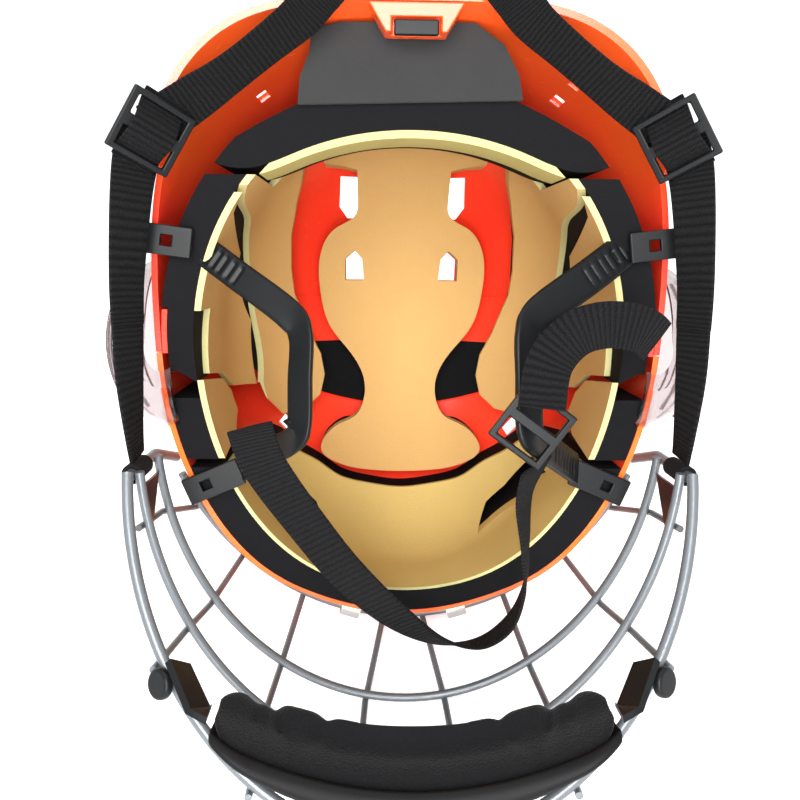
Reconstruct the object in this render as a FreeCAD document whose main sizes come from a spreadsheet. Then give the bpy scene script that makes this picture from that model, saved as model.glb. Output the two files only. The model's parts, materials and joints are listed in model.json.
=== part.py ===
import FreeCAD, Part
import math
import os
from FreeCAD import Matrix, Placement, Rotation, Vector

# Ice-hockey helmet with a wire face cage, in millimetres.
# It is drawn in the wearer's frame (x to the wearer's right, y forward, z to the crown, the
# shell's widest section at z = 0) and then laid face down, on its forehead and its cage.

SIZES = (
    ("shell_half_width", 115, "half the outer width of the shell"),
    ("shell_front_reach", 142, "widest section forward to the brow"),
    ("shell_back_reach", 130, "widest section back to the nape"),
    ("shell_middle", -10, "fore and aft place of the widest section"),
    ("front_wall", 2.6, "wall of the front shell"),
    ("rear_wall", 2.6, "wall of the rear shell"),
    ("tuck_gap", 0.3, "running gap between the two shells"),
    ("tail_top", -15, "height where the tail leaves the round shell"),
    ("tail_low", -92, "height of the tail's edge"),
    ("tail_reach", 148, "widest section back to the tail's edge"),
    ("tail_power", 3.5, "squareness of the tail's edge"),
    ("liner_depth", 17, "inner face of the black liners, below the shell's outer face"),
    ("crown_liner_depth", 11, "inner face of the crown pad's backing"),
    ("pad_depth", 20, "inner face of the tan pads"),
    ("glue_gap", 0.1, "gap between glued layers"),
    ("nape_low", -76, "lower face of the nape pad"),
    ("nape_lining_wall", 3.3, "wall of the nape pad's lining"),
    ("sheet_wall", 3, "wall of the foam sheet under the nape pad"),
    ("guard_radius", 29, "radius of the ear guards' bulge"),
    ("guard_half_length", 40, "half the length of the bulge"),
    ("guard_middle", -13, "fore and aft place of the guards"),
    ("guard_height", -47, "height of the guards' axis"),
    ("guard_wall", 2, "wall of the ear guards"),
    ("clip_width", 13, "width of the clips on the shell edge"),
    ("clip_wall", 2.2, "wall of the clips"),
    ("clip_reach", 7, "height of the clips' outer leg"),
    ("front_clip_length", 25, "length of the front clips' foot, inward from the shell"),
    ("rear_clip_length", 18, "length of the rear clips' foot, inward from the shell"),
    ("clip_gap", 0.4, "gap between a clip and the shell"),
    ("front_clip_place", 56, "fore and aft place of the front clips"),
    ("rear_clip_place", -61, "fore and aft place of the rear clips"),
    ("loop_width", 13, "width of the ear loop's legs"),
    ("loop_wall", 3.2, "thickness of the ear loops"),
    ("loop_inset", 47, "half the distance between the two ear loops' bars"),
    ("loop_rear_corner", -26, "fore and aft place of the bar's rear end"),
    ("loop_front_corner", 20, "fore and aft place of the bar's front end"),
    ("loop_rear_drop", -92, "height of the bar's rear end"),
    ("loop_front_drop", -104, "height of the bar's front end"),
    ("webbing_width", 19, "width of the webbing"),
    ("webbing_wall", 1.8, "thickness of the webbing"),
    ("brow_wire_bore", 4, "diameter of the brow, upper and lower wires"),
    ("upright_bore", 3, "diameter of the upright wires"),
    ("jaw_wire_bore", 4.8, "diameter of the jaw wire and side bars"),
    ("weld_gap", 0.05, "gap between crossing wires"),
    ("brow_wire_side", 8, "brow wire's ellipse beyond the shell's half width"),
    ("brow_wire_stand", 3.4, "brow wire's middle line in front of the shell"),
    ("brow_wire_height", -14, "height of the brow wire at its middle"),
    ("brow_wire_slope", 0.28, "fall of the brow wire towards its ends"),
    ("cage_middle", 25, "centre of the cage's ellipses, fore and aft"),
    ("cage_half_width", 113, "half width of the cage's ellipses"),
    ("upper_wire_reach", 136, "reach of the upper wire"),
    ("upper_wire_height", -58, "height of the upper wire at its middle"),
    ("upper_wire_slope", 0.147, "fall of the upper wire towards its ends"),
    ("lower_wire_reach", 144, "reach of the lower wire"),
    ("lower_wire_height", -98, "height of the lower wire at its middle"),
    ("lower_wire_slope", 0.07, "fall of the lower wire towards its ends"),
    ("jaw_wire_reach", 137, "reach of the jaw wire"),
    ("jaw_wire_height", -168, "height of the jaw wire at its middle"),
    ("jaw_wire_slope", -0.46, "rise of the jaw wire towards its ends"),
    ("bar_place", 37, "fore and aft place of the side bars"),
    ("strap_height", -93, "height of the webbing's eye on the side bars"),
    ("clip_spacing", 56, "distance between the brow clips"),
    ("brow_clip_width", 10, "width of a brow clip"),
    ("brow_clip_play", 1.3, "play of the brow wire in its clips"),
    ("cup_half_width", 76, "half width of the chin cup"),
    ("cup_back", 110, "back corners of the chin cup"),
    ("cup_reach", 152, "front of the chin cup"),
    ("cup_low", -176, "lower face of the chin cup"),
    ("cup_high", -140, "upper edge of the chin cup"),
    ("cup_wall", 2.5, "wall of the chin cup"),
    ("snap_diameter", 12, "diameter of the round snaps"),
    ("latch_width", 18, "width of the latch lever"),
    ("latch_place", -144.8, "fore and aft place of the latch lever"),
    ("slider_width", 27, "width of the tri-glides"),
    ("slider_length", 26, "length of the tri-glides"),
    ("slider_wall", 3, "thickness of the tri-glides"),
    ("screw_head", 8, "head diameter of the screws"),
)

# Outlines drawn on the shell: (share of the half width, share of the reach, back negative).
CROWN_CURVE = ((0.17, 0.60), (0.34, 0.56), (0.42, 0.50), (0.35, 0.42), (0.24, 0.38), (0.20, 0.32),
               (0.20, 0.22), (0.30, 0.08), (0.38, -0.01), (0.43, -0.18), (0.41, -0.39),
               (0.34, -0.47), (0.25, -0.52), (0.23, -0.57))
CROWN_TOP = ((0.23, -0.71), (0.31, -0.72), (0.38, -0.72), (0.40, -1.2))
INNER_PAD = ((0.43, -1.2), (0.45, -0.74), (0.52, -0.57), (0.56, -0.43), (0.57, -0.28), (0.56, -0.17),
             (0.49, 0.01), (0.43, 0.11), (0.41, 0.20), (0.43, 0.28), (0.50, 0.33), (0.61, 0.34),
             (0.69, 0.26), (0.72, 0.20), (1.2, 0.20), (1.2, -1.2))
FOREHEAD_TOP = ((0.00, 0.67), (0.18, 0.65), (0.33, 0.61), (0.43, 0.55), (0.54, 0.49), (0.64, 0.42),
                (0.71, 0.39))
FOREHEAD_SLOT = ((0.65, 0.48), (0.69, 0.51), (0.57, 0.63), (0.43, 0.73), (0.37, 0.77),
                 (0.43, 0.68), (0.52, 0.61))
NAPE_INNER = ((0.74, -0.64), (0.57, -0.63), (0.42, -0.68), (0.23, -0.73), (0.00, -0.75))
NAPE_OUTER = ((0.74, -0.68), (0.60, -0.75), (0.42, -0.83), (0.25, -0.88), (0.00, -0.89))
LARGE_VENT = ((0.19, -0.70), (0.32, -0.70), (0.33, -0.57), (0.29, -0.52), (0.19, -0.52))
SMALL_VENT = ((0.20, -0.23), (0.30, -0.23), (0.30, -0.33), (0.25, -0.37), (0.21, -0.33))
FRONT_VENT = ((0.56, 0.43), (0.585, 0.46), (0.65, 0.40), (0.62, 0.37))

# Outlines drawn on the shell's side: (share of the reach, height).
RIM_LINE = ((1.30, -20), (1.03, -21), (0.92, -29), (0.81, -40), (0.55, -51), (0.28, -57),
            (0.07, -62), (-0.19, -70), (-0.42, -76), (-0.60, -78.5))
INNER_PAD_LOW = ((0.20, 45), (0.05, 48), (-0.06, 44), (-0.32, 24), (-0.45, -1), (-0.52, -57),
                 (-0.62, -90))
OUTER_PAD_TOP = ((-0.62, -90), (-0.48, -68), (-0.35, 4), (-0.06, 39), (0.20, 39), (0.18, 12),
                 (0.11, -11), (0.07, -60), (0.06, -90))
TEMPLE_PAD = ((0.08, -90), (0.09, -60), (0.13, -12), (0.19, 4), (0.27, 8), (0.33, -13),
              (0.36, -60), (0.36, -90))

doc = FreeCAD.newDocument("hockey_helmet")
sheet = doc.addObject("Spreadsheet::Sheet", "Sizes")
for row, (alias, value, note) in enumerate(SIZES, start=1):
    sheet.set(f"A{row}", note)
    sheet.set(f"B{row}", str(value))
    sheet.setAlias(f"B{row}", alias)
doc.recompute()


class Sheet:
    """Reads a named size from the spreadsheet."""

    def __getattr__(self, alias):
        return float(getattr(sheet, alias))


S = Sheet()
NODES = []
FAR = 400.0
UP = Vector(0, 0, 1)
NOWHERE = Placement()


# ---------------------------------------------------------------- documents and nodes

def node(label, shape, place=NOWHERE):
    """A piece whose shape is made in code from the sheet's sizes."""
    piece = doc.addObject("Part::Feature", label)
    piece.Label = label
    piece.Shape = shape
    piece.Placement = place
    NODES.append(piece)
    return piece


def origin_plane(body, role):
    return next(f for f in body.Origin.OriginFeatures if f.Role == role)


def body_sketch(body, name, role):
    sketch = body.newObject("Sketcher::SketchObject", name)
    sketch.AttachmentSupport = (origin_plane(body, role), [""])
    sketch.MapMode = "FlatFace"
    return sketch


def closed_sketch(sketch, corners):
    """Adds a closed ring of straight lines to a sketch."""
    count = len(corners)
    first = sketch.GeometryCount
    for i, (x, y) in enumerate(corners):
        x2, y2 = corners[(i + 1) % count]
        sketch.addGeometry(Part.LineSegment(Vector(x, y, 0), Vector(x2, y2, 0)), False)
    import Sketcher
    for i in range(count):
        sketch.addConstraint(Sketcher.Constraint("Coincident", first + i, 2, first + (i + 1) % count, 1))


def rectangle(width, height, x=0.0, y=0.0):
    return ((x - width / 2, y - height / 2), (x + width / 2, y - height / 2),
            (x + width / 2, y + height / 2), (x - width / 2, y + height / 2))


def padded_body(label, role, corners, length_cell, windows=(), place=NOWHERE):
    """A body padded evenly both ways from a ring of corners, with windows cut through it."""
    body = doc.addObject("PartDesign::Body", label)
    body.Label = label
    outline = body_sketch(body, label + "_outline", role)
    closed_sketch(outline, corners)
    pad = body.newObject("PartDesign::Pad", label + "_pad")
    pad.Profile = outline
    pad.Midplane = True
    pad.setExpression("Length", length_cell)
    doc.recompute()
    for i, (window_role, ring) in enumerate(windows):
        cut = body_sketch(body, f"{label}_window_{i}", window_role)
        closed_sketch(cut, ring)
        pocket = body.newObject("PartDesign::Pocket", f"{label}_pocket_{i}")
        pocket.Profile = cut
        pocket.Type = "ThroughAll"
        pocket.Midplane = True
        doc.recompute()
    body.Placement = place
    NODES.append(body)
    return body


# ---------------------------------------------------------------- the shell's round layers

def quarter(centre, start, end):
    """A quarter of an ellipse from start to end, whichever of the two is farther out."""
    if (start - centre).Length >= (end - centre).Length:
        return Part.Arc(Part.Ellipse(start, end, centre), 0, math.pi / 2).toShape()
    return Part.Arc(Part.Ellipse(end, start, centre), 0, math.pi / 2).toShape()


def axis_points(depth, z=0.0):
    """Front, right, back and left points of the egg at a depth below the outer face."""
    middle = S.shell_middle
    across = S.shell_half_width - depth
    return (Vector(0, middle + S.shell_front_reach - depth, z), Vector(across, middle, z),
            Vector(0, middle - S.shell_back_reach + depth, z), Vector(-across, middle, z))


def egg_face(depth, z=0.0):
    front, right, back, left = axis_points(depth, z)
    centre = Vector(0, S.shell_middle, z)
    edges = [quarter(centre, front, right), quarter(centre, back, right),
             quarter(centre, back, left), quarter(centre, front, left)]
    return Part.Face(Part.Wire(Part.__sortEdges__(edges)))


MADE = {}


def egg(depth, low=-FAR):
    """The solid inside the shell's face at a depth: a dome on a straight skirt."""
    key = (round(depth, 4), low)
    if key not in MADE:
        front, right, back, _ = axis_points(depth)
        centre = Vector(0, S.shell_middle, 0)
        half = [quarter(centre, front, right), quarter(centre, back, right),
                Part.makeLine(back, front)]
        profile = Part.Face(Part.Wire(Part.__sortEdges__(half)))
        dome = profile.revolve(Vector(0, 0, 0), Vector(0, 1, 0), -180)
        skirt = egg_face(depth).extrude(Vector(0, 0, low))
        MADE[key] = dome.fuse(skirt)
    return MADE[key]


def layer(outer, inner):
    return egg(outer, -200.0).cut(egg(inner, -210.0))


def along(share):
    reach = S.shell_front_reach if share > 0 else S.shell_back_reach
    return S.shell_middle + share * reach


def spots(shares, side=1):
    """Plan points from shares of the shell's half width and reach."""
    return [Vector(side * u * S.shell_half_width, along(v), 0) for u, v in shares]


def plan_prism(points):
    """A tall prism on a ring of plan points."""
    ring = [Vector(p.x, p.y, -FAR / 2) for p in points]
    return Part.Face(Part.makePolygon(ring + ring[:1])).extrude(Vector(0, 0, FAR))


def smooth_edge(points):
    curve = Part.BSplineCurve()
    curve.interpolate(points)
    return curve.toShape()


def plan_smooth(points, corners):
    """A tall prism with one smooth side through points, closed by straight runs over corners."""
    rise = Vector(0, 0, -FAR / 2)
    curve = smooth_edge([p + rise for p in points])
    ring = [points[-1] + rise] + [c + rise for c in corners] + [points[0] + rise]
    edges = [curve] + [Part.makeLine(a, b) for a, b in zip(ring, ring[1:])]
    return Part.Face(Part.Wire(edges)).extrude(Vector(0, 0, FAR))


def side_prism(line, smooth=True, close=()):
    """A prism right across the helmet on a side outline of (share, height) points."""
    points = [Vector(-FAR / 2, along(v), z) for v, z in line]
    corners = [Vector(-FAR / 2, y, z) for y, z in close]
    if smooth:
        ring = [points[-1]] + corners + [points[0]]
        edges = [smooth_edge(points)] + [Part.makeLine(a, b) for a, b in zip(ring, ring[1:])]
        wire = Part.Wire(edges)
    else:
        ring = points + corners
        wire = Part.makePolygon(ring + ring[:1])
    return Part.Face(wire).extrude(Vector(FAR, 0, 0))


def block(x1, x2, y1, y2, z1, z2):
    return Part.makeBox(x2 - x1, y2 - y1, z2 - z1, Vector(x1, y1, z1))


def above_rim():
    """Everything above the shell's lower edge."""
    drop = S.tail_low - 8
    last = along(RIM_LINE[-1][0])
    close = ((last - 12, drop), (-FAR / 2, drop), (-FAR / 2, FAR / 2), (along(RIM_LINE[0][0]), FAR / 2))
    return side_prism(RIM_LINE, close=close)


RIM = above_rim()


def rim_height(y):
    """Height of the shell's lower edge at a place fore and aft."""
    line = [(along(v), z) for v, z in RIM_LINE]
    for (y1, z1), (y2, z2) in zip(line, line[1:]):
        if y2 <= y <= y1:
            return z2 + (z1 - z2) * (y - y2) / (y1 - y2)
    return line[-1][1]


def mirror(shape):
    return shape.mirror(Vector(0, 0, 0), Vector(1, 0, 0))


def both(shape):
    return [shape, mirror(shape)]


SIDES = (("right", 1), ("left", -1))


def paired(label, shape):
    """The same piece on the wearer's right and left."""
    node(label + "_right", shape)
    node(label + "_left", mirror(shape))


def in_front(y):
    return block(-FAR, FAR, y, FAR, -FAR, FAR)


def behind(y):
    return block(-FAR, FAR, -FAR, y, -FAR, FAR)


# ---------------------------------------------------------------- shells

def vents(shares):
    return both(plan_prism(spots(shares)).common(block(-FAR, FAR, -FAR, FAR, 0, FAR)))


def overlap_arc(depth_share):
    """Plan line where the rear shell's hidden lip ends under the front shell."""
    half = S.shell_half_width * 0.92
    tip = along(0.35) - depth_share
    return Part.Arc(Vector(-half, along(0.0), -FAR / 2), Vector(0, tip, -FAR / 2),
                    Vector(half, along(0.0), -FAR / 2)).toShape()


def lip_zone(back):
    """Plan zone of the lip, from a line behind the seam to the arc."""
    half = S.shell_half_width * 0.92
    y = along(0.0)
    arc = overlap_arc(0)
    low = -FAR / 2
    ring = [Vector(half, y, low), Vector(2 * half, y, low), Vector(2 * half, back, low),
            Vector(-2 * half, back, low), Vector(-2 * half, y, low), Vector(-half, y, low)]
    edges = [arc] + [Part.makeLine(a, b) for a, b in zip(ring, ring[1:])]
    return Part.Face(Part.Wire(Part.__sortEdges__(edges))).extrude(Vector(0, 0, FAR))


def make_front_shell():
    seam = S.shell_middle
    shell = layer(0, S.front_wall).common(in_front(seam)).common(RIM)
    ridge = plan_prism(spots(((0.10, 0.05), (0.26, 0.05), (0.20, 0.80), (0.12, 0.80))))
    ridges = layer(-2.5, 1).common(Part.makeCompound(both(ridge))).common(RIM)
    shell = shell.fuse(ridges.Solids)
    for vent in vents(FRONT_VENT):
        shell = shell.cut(vent)
    return shell


def tail_edge(depth):
    """The back half of the tail's squared lower edge, left to right, with its closing line."""
    across = S.shell_half_width - depth
    reach = S.tail_reach - depth
    power = 2.0 / S.tail_power
    steps = 8
    halves = []
    for side in (1, -1):
        points = []
        for i in range(steps + 1):
            angle = math.pi / 2 * i / steps
            x = side * across * round(math.cos(angle), 9) ** power
            y = S.shell_middle - reach * math.sin(angle) ** power
            points.append(Vector(x, y, S.tail_low))
        curve = Part.BSplineCurve()
        curve.interpolate(points, InitialTangent=Vector(0, -1, 0), FinalTangent=Vector(-side, 0, 0))
        halves.append(curve.toShape())
    ends = [Vector(-across, S.shell_middle, S.tail_low), Vector(across, S.shell_middle, S.tail_low)]
    return Part.Wire(Part.__sortEdges__(halves + [Part.makeLine(*ends)]))


def tail(depth):
    """The solid inside the tail's skin at a depth."""
    _, right, back, left = axis_points(depth, S.tail_top)
    centre = Vector(0, S.shell_middle, S.tail_top)
    top = Part.Wire(Part.__sortEdges__([quarter(centre, back, right), quarter(centre, back, left),
                                        Part.makeLine(left, right)]))
    return Part.makeLoft([top, tail_edge(depth)], True, True)


def make_rear_shell():
    seam = S.shell_middle - 2 * S.tuck_gap
    wall = S.rear_wall
    dome = egg(0, S.tail_top).cut(egg(wall, S.tail_top))
    skirt = tail(0).cut(tail(wall))
    shell = dome.fuse(skirt).common(behind(seam)).common(RIM)
    lip = layer(S.front_wall + S.tuck_gap, 2 * wall).common(lip_zone(S.shell_middle - 20)).common(RIM)
    shell = shell.fuse(lip)
    for vent in vents(LARGE_VENT) + vents(SMALL_VENT):
        shell = shell.cut(vent)
    for side in (1, -1):
        for lift in (0, 16):
            slot = block(-14, 14, -2.5, 2.5, -30, 30)
            slot.rotate(Vector(0, 0, 0), UP, -side * 42)
            slot.translate(Vector(side * 0.66 * S.shell_half_width, along(-0.95), S.tail_top - 28 - lift))
            shell = shell.cut(slot.common(block(-FAR, FAR, -FAR, FAR, S.tail_top - 31 - lift,
                                                S.tail_top - 25 - lift)))
    return shell


node("front_shell", make_front_shell())
node("rear_shell", make_rear_shell())

band_zone = lip_zone(along(0.0) - 20)
band_zone = band_zone.common(in_front(along(0.07) - 1)).common(block(-86, 86, -FAR, FAR, 20, FAR))
LIP_DEPTH = 2 * S.rear_wall
node("overlap_strip", layer(LIP_DEPTH + S.glue_gap, LIP_DEPTH + 1.3).common(band_zone))

# ---------------------------------------------------------------- foam pads

PAD_TOP = S.liner_depth + S.glue_gap
CROWN_PAD_TOP = S.crown_liner_depth + S.glue_gap
TAN = layer(PAD_TOP, S.pad_depth)
LINER = layer(S.front_wall + S.tuck_gap, S.liner_depth)
NAPE_TOP = S.tail_top + 2
nape_room = block(-FAR, FAR, -FAR, along(-0.60), -FAR, NAPE_TOP + 0.5)


def crown_zone(inset=0.0):
    right = spots(CROWN_CURVE)
    left = spots(CROWN_CURVE, -1)
    curve = list(reversed(left)) + right
    corners = spots(CROWN_TOP) + list(reversed(spots(CROWN_TOP, -1)))
    return plan_smooth(curve, corners)


def make_crown_pad():
    pad = layer(CROWN_PAD_TOP, S.pad_depth).common(crown_zone())
    pad = pad.common(block(-FAR, FAR, -FAR, FAR, 12, FAR))
    notch = Part.makeCylinder(19, FAR, Vector(0, -FAR - 40, 10), Vector(0, 1, 0))
    pad = pad.cut(notch)
    for window in vents(SMALL_VENT):
        pad = pad.cut(window)
    return pad


node("crown_pad", make_crown_pad())
crown_front = crown_zone().common(in_front(along(0.39) + 2))
crown_liner = layer(S.front_wall + S.tuck_gap, S.crown_liner_depth)
node("crown_backing", crown_liner.common(crown_front).common(block(-FAR, FAR, -FAR, FAR, 20, FAR)))

forehead_points = list(reversed(spots(FOREHEAD_TOP[1:], -1))) + spots(FOREHEAD_TOP)
forehead_far = [Vector(FAR / 2, along(0.39), 0), Vector(FAR / 2, FAR / 2, 0),
                Vector(-FAR / 2, FAR / 2, 0), Vector(-FAR / 2, along(0.39), 0)]
forehead_zone = plan_smooth(forehead_points, forehead_far)


def make_forehead(stock):
    pad = stock.common(forehead_zone).common(RIM)
    for slot in vents(FOREHEAD_SLOT):
        pad = pad.cut(slot)
    return pad


node("forehead_pad", make_forehead(layer(PAD_TOP, S.pad_depth - 1)))
node("forehead_liner", make_forehead(LINER))

inner_plan = plan_prism(spots(INNER_PAD))
inner_side = side_prism(INNER_PAD_LOW, close=((-FAR / 2, -90), (-FAR / 2, FAR / 2),
                                              (along(0.36), FAR / 2), (along(0.36), 45)))
inner_pad = TAN.common(inner_plan).common(inner_side).common(RIM).cut(nape_room)
paired("inner_side_pad", inner_pad)

outer_room = block(0.5 * S.shell_half_width, FAR, -FAR, FAR, -FAR, FAR)
outer_side = side_prism(OUTER_PAD_TOP, smooth=False)
ear_step = block(0, FAR, along(-0.15), FAR, -FAR, rim_height(0) + 16)
outer_pad = TAN.common(outer_side).common(outer_room).common(RIM).cut(ear_step)
paired("outer_side_pad", outer_pad)

side_zone = plan_prism(spots(((0.46, -1.0), (0.58, -0.43), (0.59, -0.20), (0.52, 0.02), (0.46, 0.13),
                              (0.45, 0.24), (0.55, 0.29), (0.66, 0.24), (0.74, 0.15), (0.92, 0.06),
                              (1.2, 0.06), (1.2, -1.0))))
rear_liner = layer(S.rear_wall + S.tuck_gap, S.liner_depth).common(behind(S.shell_middle - 21))
lip_liner = layer(LIP_DEPTH + S.tuck_gap, S.liner_depth).common(in_front(S.shell_middle - 21.01))
side_liner = rear_liner.fuse(lip_liner).common(side_zone).common(RIM).cut(nape_room)
strip_room = block(-FAR, FAR, along(0.07) - 1.4, FAR, 19.6, FAR)
strip_skin = layer(S.front_wall, LIP_DEPTH + 1.6)
side_liner = side_liner.cut(strip_room.common(strip_skin))
paired("side_liner", side_liner)

temple_zone = side_prism(TEMPLE_PAD, smooth=False)
temple_room = block(0.6 * S.shell_half_width, FAR, -FAR, FAR, -FAR, FAR)
paired("temple_pad", TAN.common(temple_zone).common(temple_room).common(RIM))
temple_back = side_prism(((0.15, -90), (0.15, 2), (0.36, 2), (0.36, -90)), smooth=False)
paired("temple_liner", LINER.common(temple_back).common(temple_room).common(RIM))

# nape: a foam crescent, its lining, and a foam sheet glued under it


def crescent(inner, outer, shift=0.0):
    """Plan prism between two smooth lines from side to side."""
    inside = [p + Vector(0, shift, 0) for p in spots(inner) + list(reversed(spots(inner, -1)))[1:]]
    outside = spots(outer) + list(reversed(spots(outer, -1)))[1:]
    low = Vector(0, 0, -FAR / 2)
    edges = [smooth_edge([p + low for p in inside]), smooth_edge([p + low for p in outside]),
             Part.makeLine(inside[0] + low, outside[0] + low),
             Part.makeLine(inside[-1] + low, outside[-1] + low)]
    return Part.Face(Part.Wire(Part.__sortEdges__(edges))).extrude(Vector(0, 0, FAR))


NAPE_WEB = -45.0
nape_slab = block(-FAR, FAR, -FAR, FAR, S.nape_low, NAPE_TOP)
nape_pad = crescent(NAPE_INNER, NAPE_OUTER).common(nape_slab)
web = egg(S.rear_wall + S.tuck_gap, -200.0).common(crescent(NAPE_INNER, ((0.76, -1.1), (0.0, -1.2))))
web = web.common(block(-FAR, FAR, -FAR, FAR, NAPE_WEB, NAPE_TOP))
nape_pad = nape_pad.fuse(web).common(egg(S.rear_wall + S.tuck_gap, -200.0))
node("nape_pad", nape_pad)

lining = crescent(NAPE_INNER, NAPE_INNER, S.nape_lining_wall)
lining = lining.common(block(-FAR, FAR, -FAR, FAR, S.nape_low, NAPE_WEB))
node("nape_lining", lining.common(egg(S.pad_depth + 0.5, -200.0)))

SHEET = ((-49, -117), (-48, -128), (-44, -138), (-43, -147), (-31, -150), (25, -150.5), (37.5, -142),
         (44, -130), (46, -120))
sheet_top = S.nape_low - S.glue_gap
tail_sheet = plan_prism([Vector(x, y, 0) for x, y in SHEET])
node("tail_sheet", tail_sheet.common(block(-FAR, FAR, -FAR, FAR, sheet_top - S.sheet_wall, sheet_top)))

# ---------------------------------------------------------------- ear guards

def make_guard():
    """A clear bulge outside the shell's side, cut to the shell and to its lower edge."""
    middle = Vector(S.shell_half_width - 4, S.guard_middle, S.guard_height)

    def bulge(radius, half):
        tip = middle + Vector(0, half, 0)
        end = middle - Vector(0, half, 0)
        out = middle + Vector(radius, 0, 0)
        edges = [quarter(middle, tip, out), quarter(middle, end, out), Part.makeLine(end, tip)]
        return Part.Face(Part.Wire(Part.__sortEdges__(edges))).revolve(middle, Vector(0, 1, 0), 360)

    wall = S.guard_wall
    guard = bulge(S.guard_radius, S.guard_half_length).cut(
        bulge(S.guard_radius - wall, S.guard_half_length - wall))
    guard = guard.cut(egg(-0.5, -200.0).common(RIM)).cut(egg(-2.6, -200.0).common(behind(S.shell_middle)))
    guard = guard.cut(tail(-2.6))
    low = rim_height(S.guard_middle) - 8
    guard = guard.common(block(0.93 * S.shell_half_width, FAR, -FAR, FAR, low, FAR))
    return max(guard.Solids, key=lambda s: s.Volume)


guard = make_guard()
paired("ear_guard", guard)

# ---------------------------------------------------------------- clips and ear loops

def skin(y, z):
    """Half width of the shell's outer face at a place fore and aft and a height."""
    if y > S.shell_middle:
        return S.shell_half_width * math.sqrt(1 - ((y - S.shell_middle) / S.shell_front_reach) ** 2)
    back = S.shell_middle - y
    top = S.shell_half_width * math.sqrt(1 - (back / S.shell_back_reach) ** 2)
    if z > S.tail_top:
        return top
    edge = S.shell_half_width * (1 - (back / S.tail_reach) ** S.tail_power) ** (1 / S.tail_power)
    return top + (edge - top) * (S.tail_top - z) / (S.tail_top - S.tail_low)


def edge_frame(y, side):
    """Place on the shell's lower edge, x outward, y along the edge, z up."""
    z = rim_height(y)
    x = skin(y, z)
    slope = skin(y + 1, z) - skin(y - 1, z)
    out = Vector(side * 2, -slope, 0).normalize()
    tangent = UP.cross(out)
    turn = Rotation(out, tangent, UP, "ZXY")
    return Placement(Vector(side * x, y, rim_height(y)), turn)


def clip_corners(reach_in):
    """Section of a clip: outer leg, foot under the shell edge, and a lip inside."""
    gap = S.clip_gap + 1.2
    wall = S.clip_wall
    out = S.clip_gap + 0.6
    foot = -gap - 1.5
    return ((out, S.clip_reach), (out, foot), (-reach_in, foot), (-reach_in, foot - wall),
            (out + wall, foot - wall), (out + wall, S.clip_reach))


CLIP_LENGTHS = {"front": S.front_clip_length, "rear": S.rear_clip_length}
CLIPS = {}
for name, place in (("front", S.front_clip_place), ("rear", S.rear_clip_place)):
    for word, side in SIDES:
        frame = edge_frame(place, side)
        window = rectangle(4.5, 4.5, -7, 0)
        CLIPS[name, word] = padded_body(f"{name}_clip_{word}", "XZ_Plane", clip_corners(CLIP_LENGTHS[name]),
                                        "Sizes.clip_width", (("XY_Plane", window),), frame)


def plate_along(points, normal, width, wall):
    """A flat strip with rounded corners through points in a plane."""
    normal = Vector(normal).normalize()
    low = normal * (-wall / 2)
    parts = []
    for a, b in zip(points, points[1:]):
        run = b - a
        sideways = normal.cross(run).normalize() * (width / 2)
        ring = [a + sideways + low, a - sideways + low, b - sideways + low, b + sideways + low]
        parts.append(Part.Face(Part.makePolygon(ring + ring[:1])).extrude(normal * wall))
    for p in points[1:-1]:
        parts.append(Part.makeCylinder(width / 2, wall, p + low, normal))
    solid = parts[0]
    for part in parts[1:]:
        solid = solid.fuse(part)
    return solid.removeSplitter()


def clip_mouth(name, word):
    """Point where a leg meets the inner end of its clip's foot."""
    wall = S.clip_wall
    foot = -S.clip_gap - 1.2 - 1.5
    return CLIPS[name, word].Placement.multVec(Vector(-CLIP_LENGTHS[name] - 0.3, 0, foot - wall / 2))


for word, side in SIDES:
    rear = Vector(side * S.loop_inset, S.loop_rear_corner, S.loop_rear_drop)
    front = Vector(side * S.loop_inset, S.loop_front_corner, S.loop_front_drop)
    front_end = clip_mouth("front", word)
    rear_end = clip_mouth("rear", word)
    bar = front - rear
    normal_front = bar.cross(front_end - front)
    pull = (front_end - front).normalize()
    tip = front_end - pull * 1.6
    loop = plate_along([rear, front, tip], normal_front, S.loop_width, S.loop_wall)
    stop = Part.makeCylinder(S.loop_width / 2, S.loop_wall,
                             rear - Vector(normal_front).normalize() * S.loop_wall / 2, normal_front)
    node(f"ear_loop_{word}", loop.fuse(stop).removeSplitter())
    pull = (rear_end - rear).normalize()
    start = rear + pull * (S.loop_width / 2 + 0.4)
    leg = plate_along([start, rear_end - pull * 2.8], bar.cross(rear_end - rear), S.loop_width,
                      S.loop_wall)
    node(f"loop_rear_leg_{word}", leg)

# ---------------------------------------------------------------- webbing

def ribbon(stations, width=None, wall=None):
    """Flat webbing through stations of (centre, direction across the webbing)."""
    width = width or S.webbing_width
    wall = wall or S.webbing_wall
    sections = []
    last = len(stations) - 1
    for i, (centre, across) in enumerate(stations):
        ahead = stations[min(i + 1, last)][0] - stations[max(i - 1, 0)][0]
        across = Vector(across)
        across = (across - ahead * (across.dot(ahead) / ahead.dot(ahead))).normalize() * (width / 2)
        thick = ahead.cross(across).normalize() * (wall / 2)
        ring = [centre + across + thick, centre - across + thick, centre - across - thick,
                centre + across - thick]
        sections.append(Part.makePolygon(ring + ring[:1]))
    return Part.makeLoft(sections, True, True)


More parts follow.
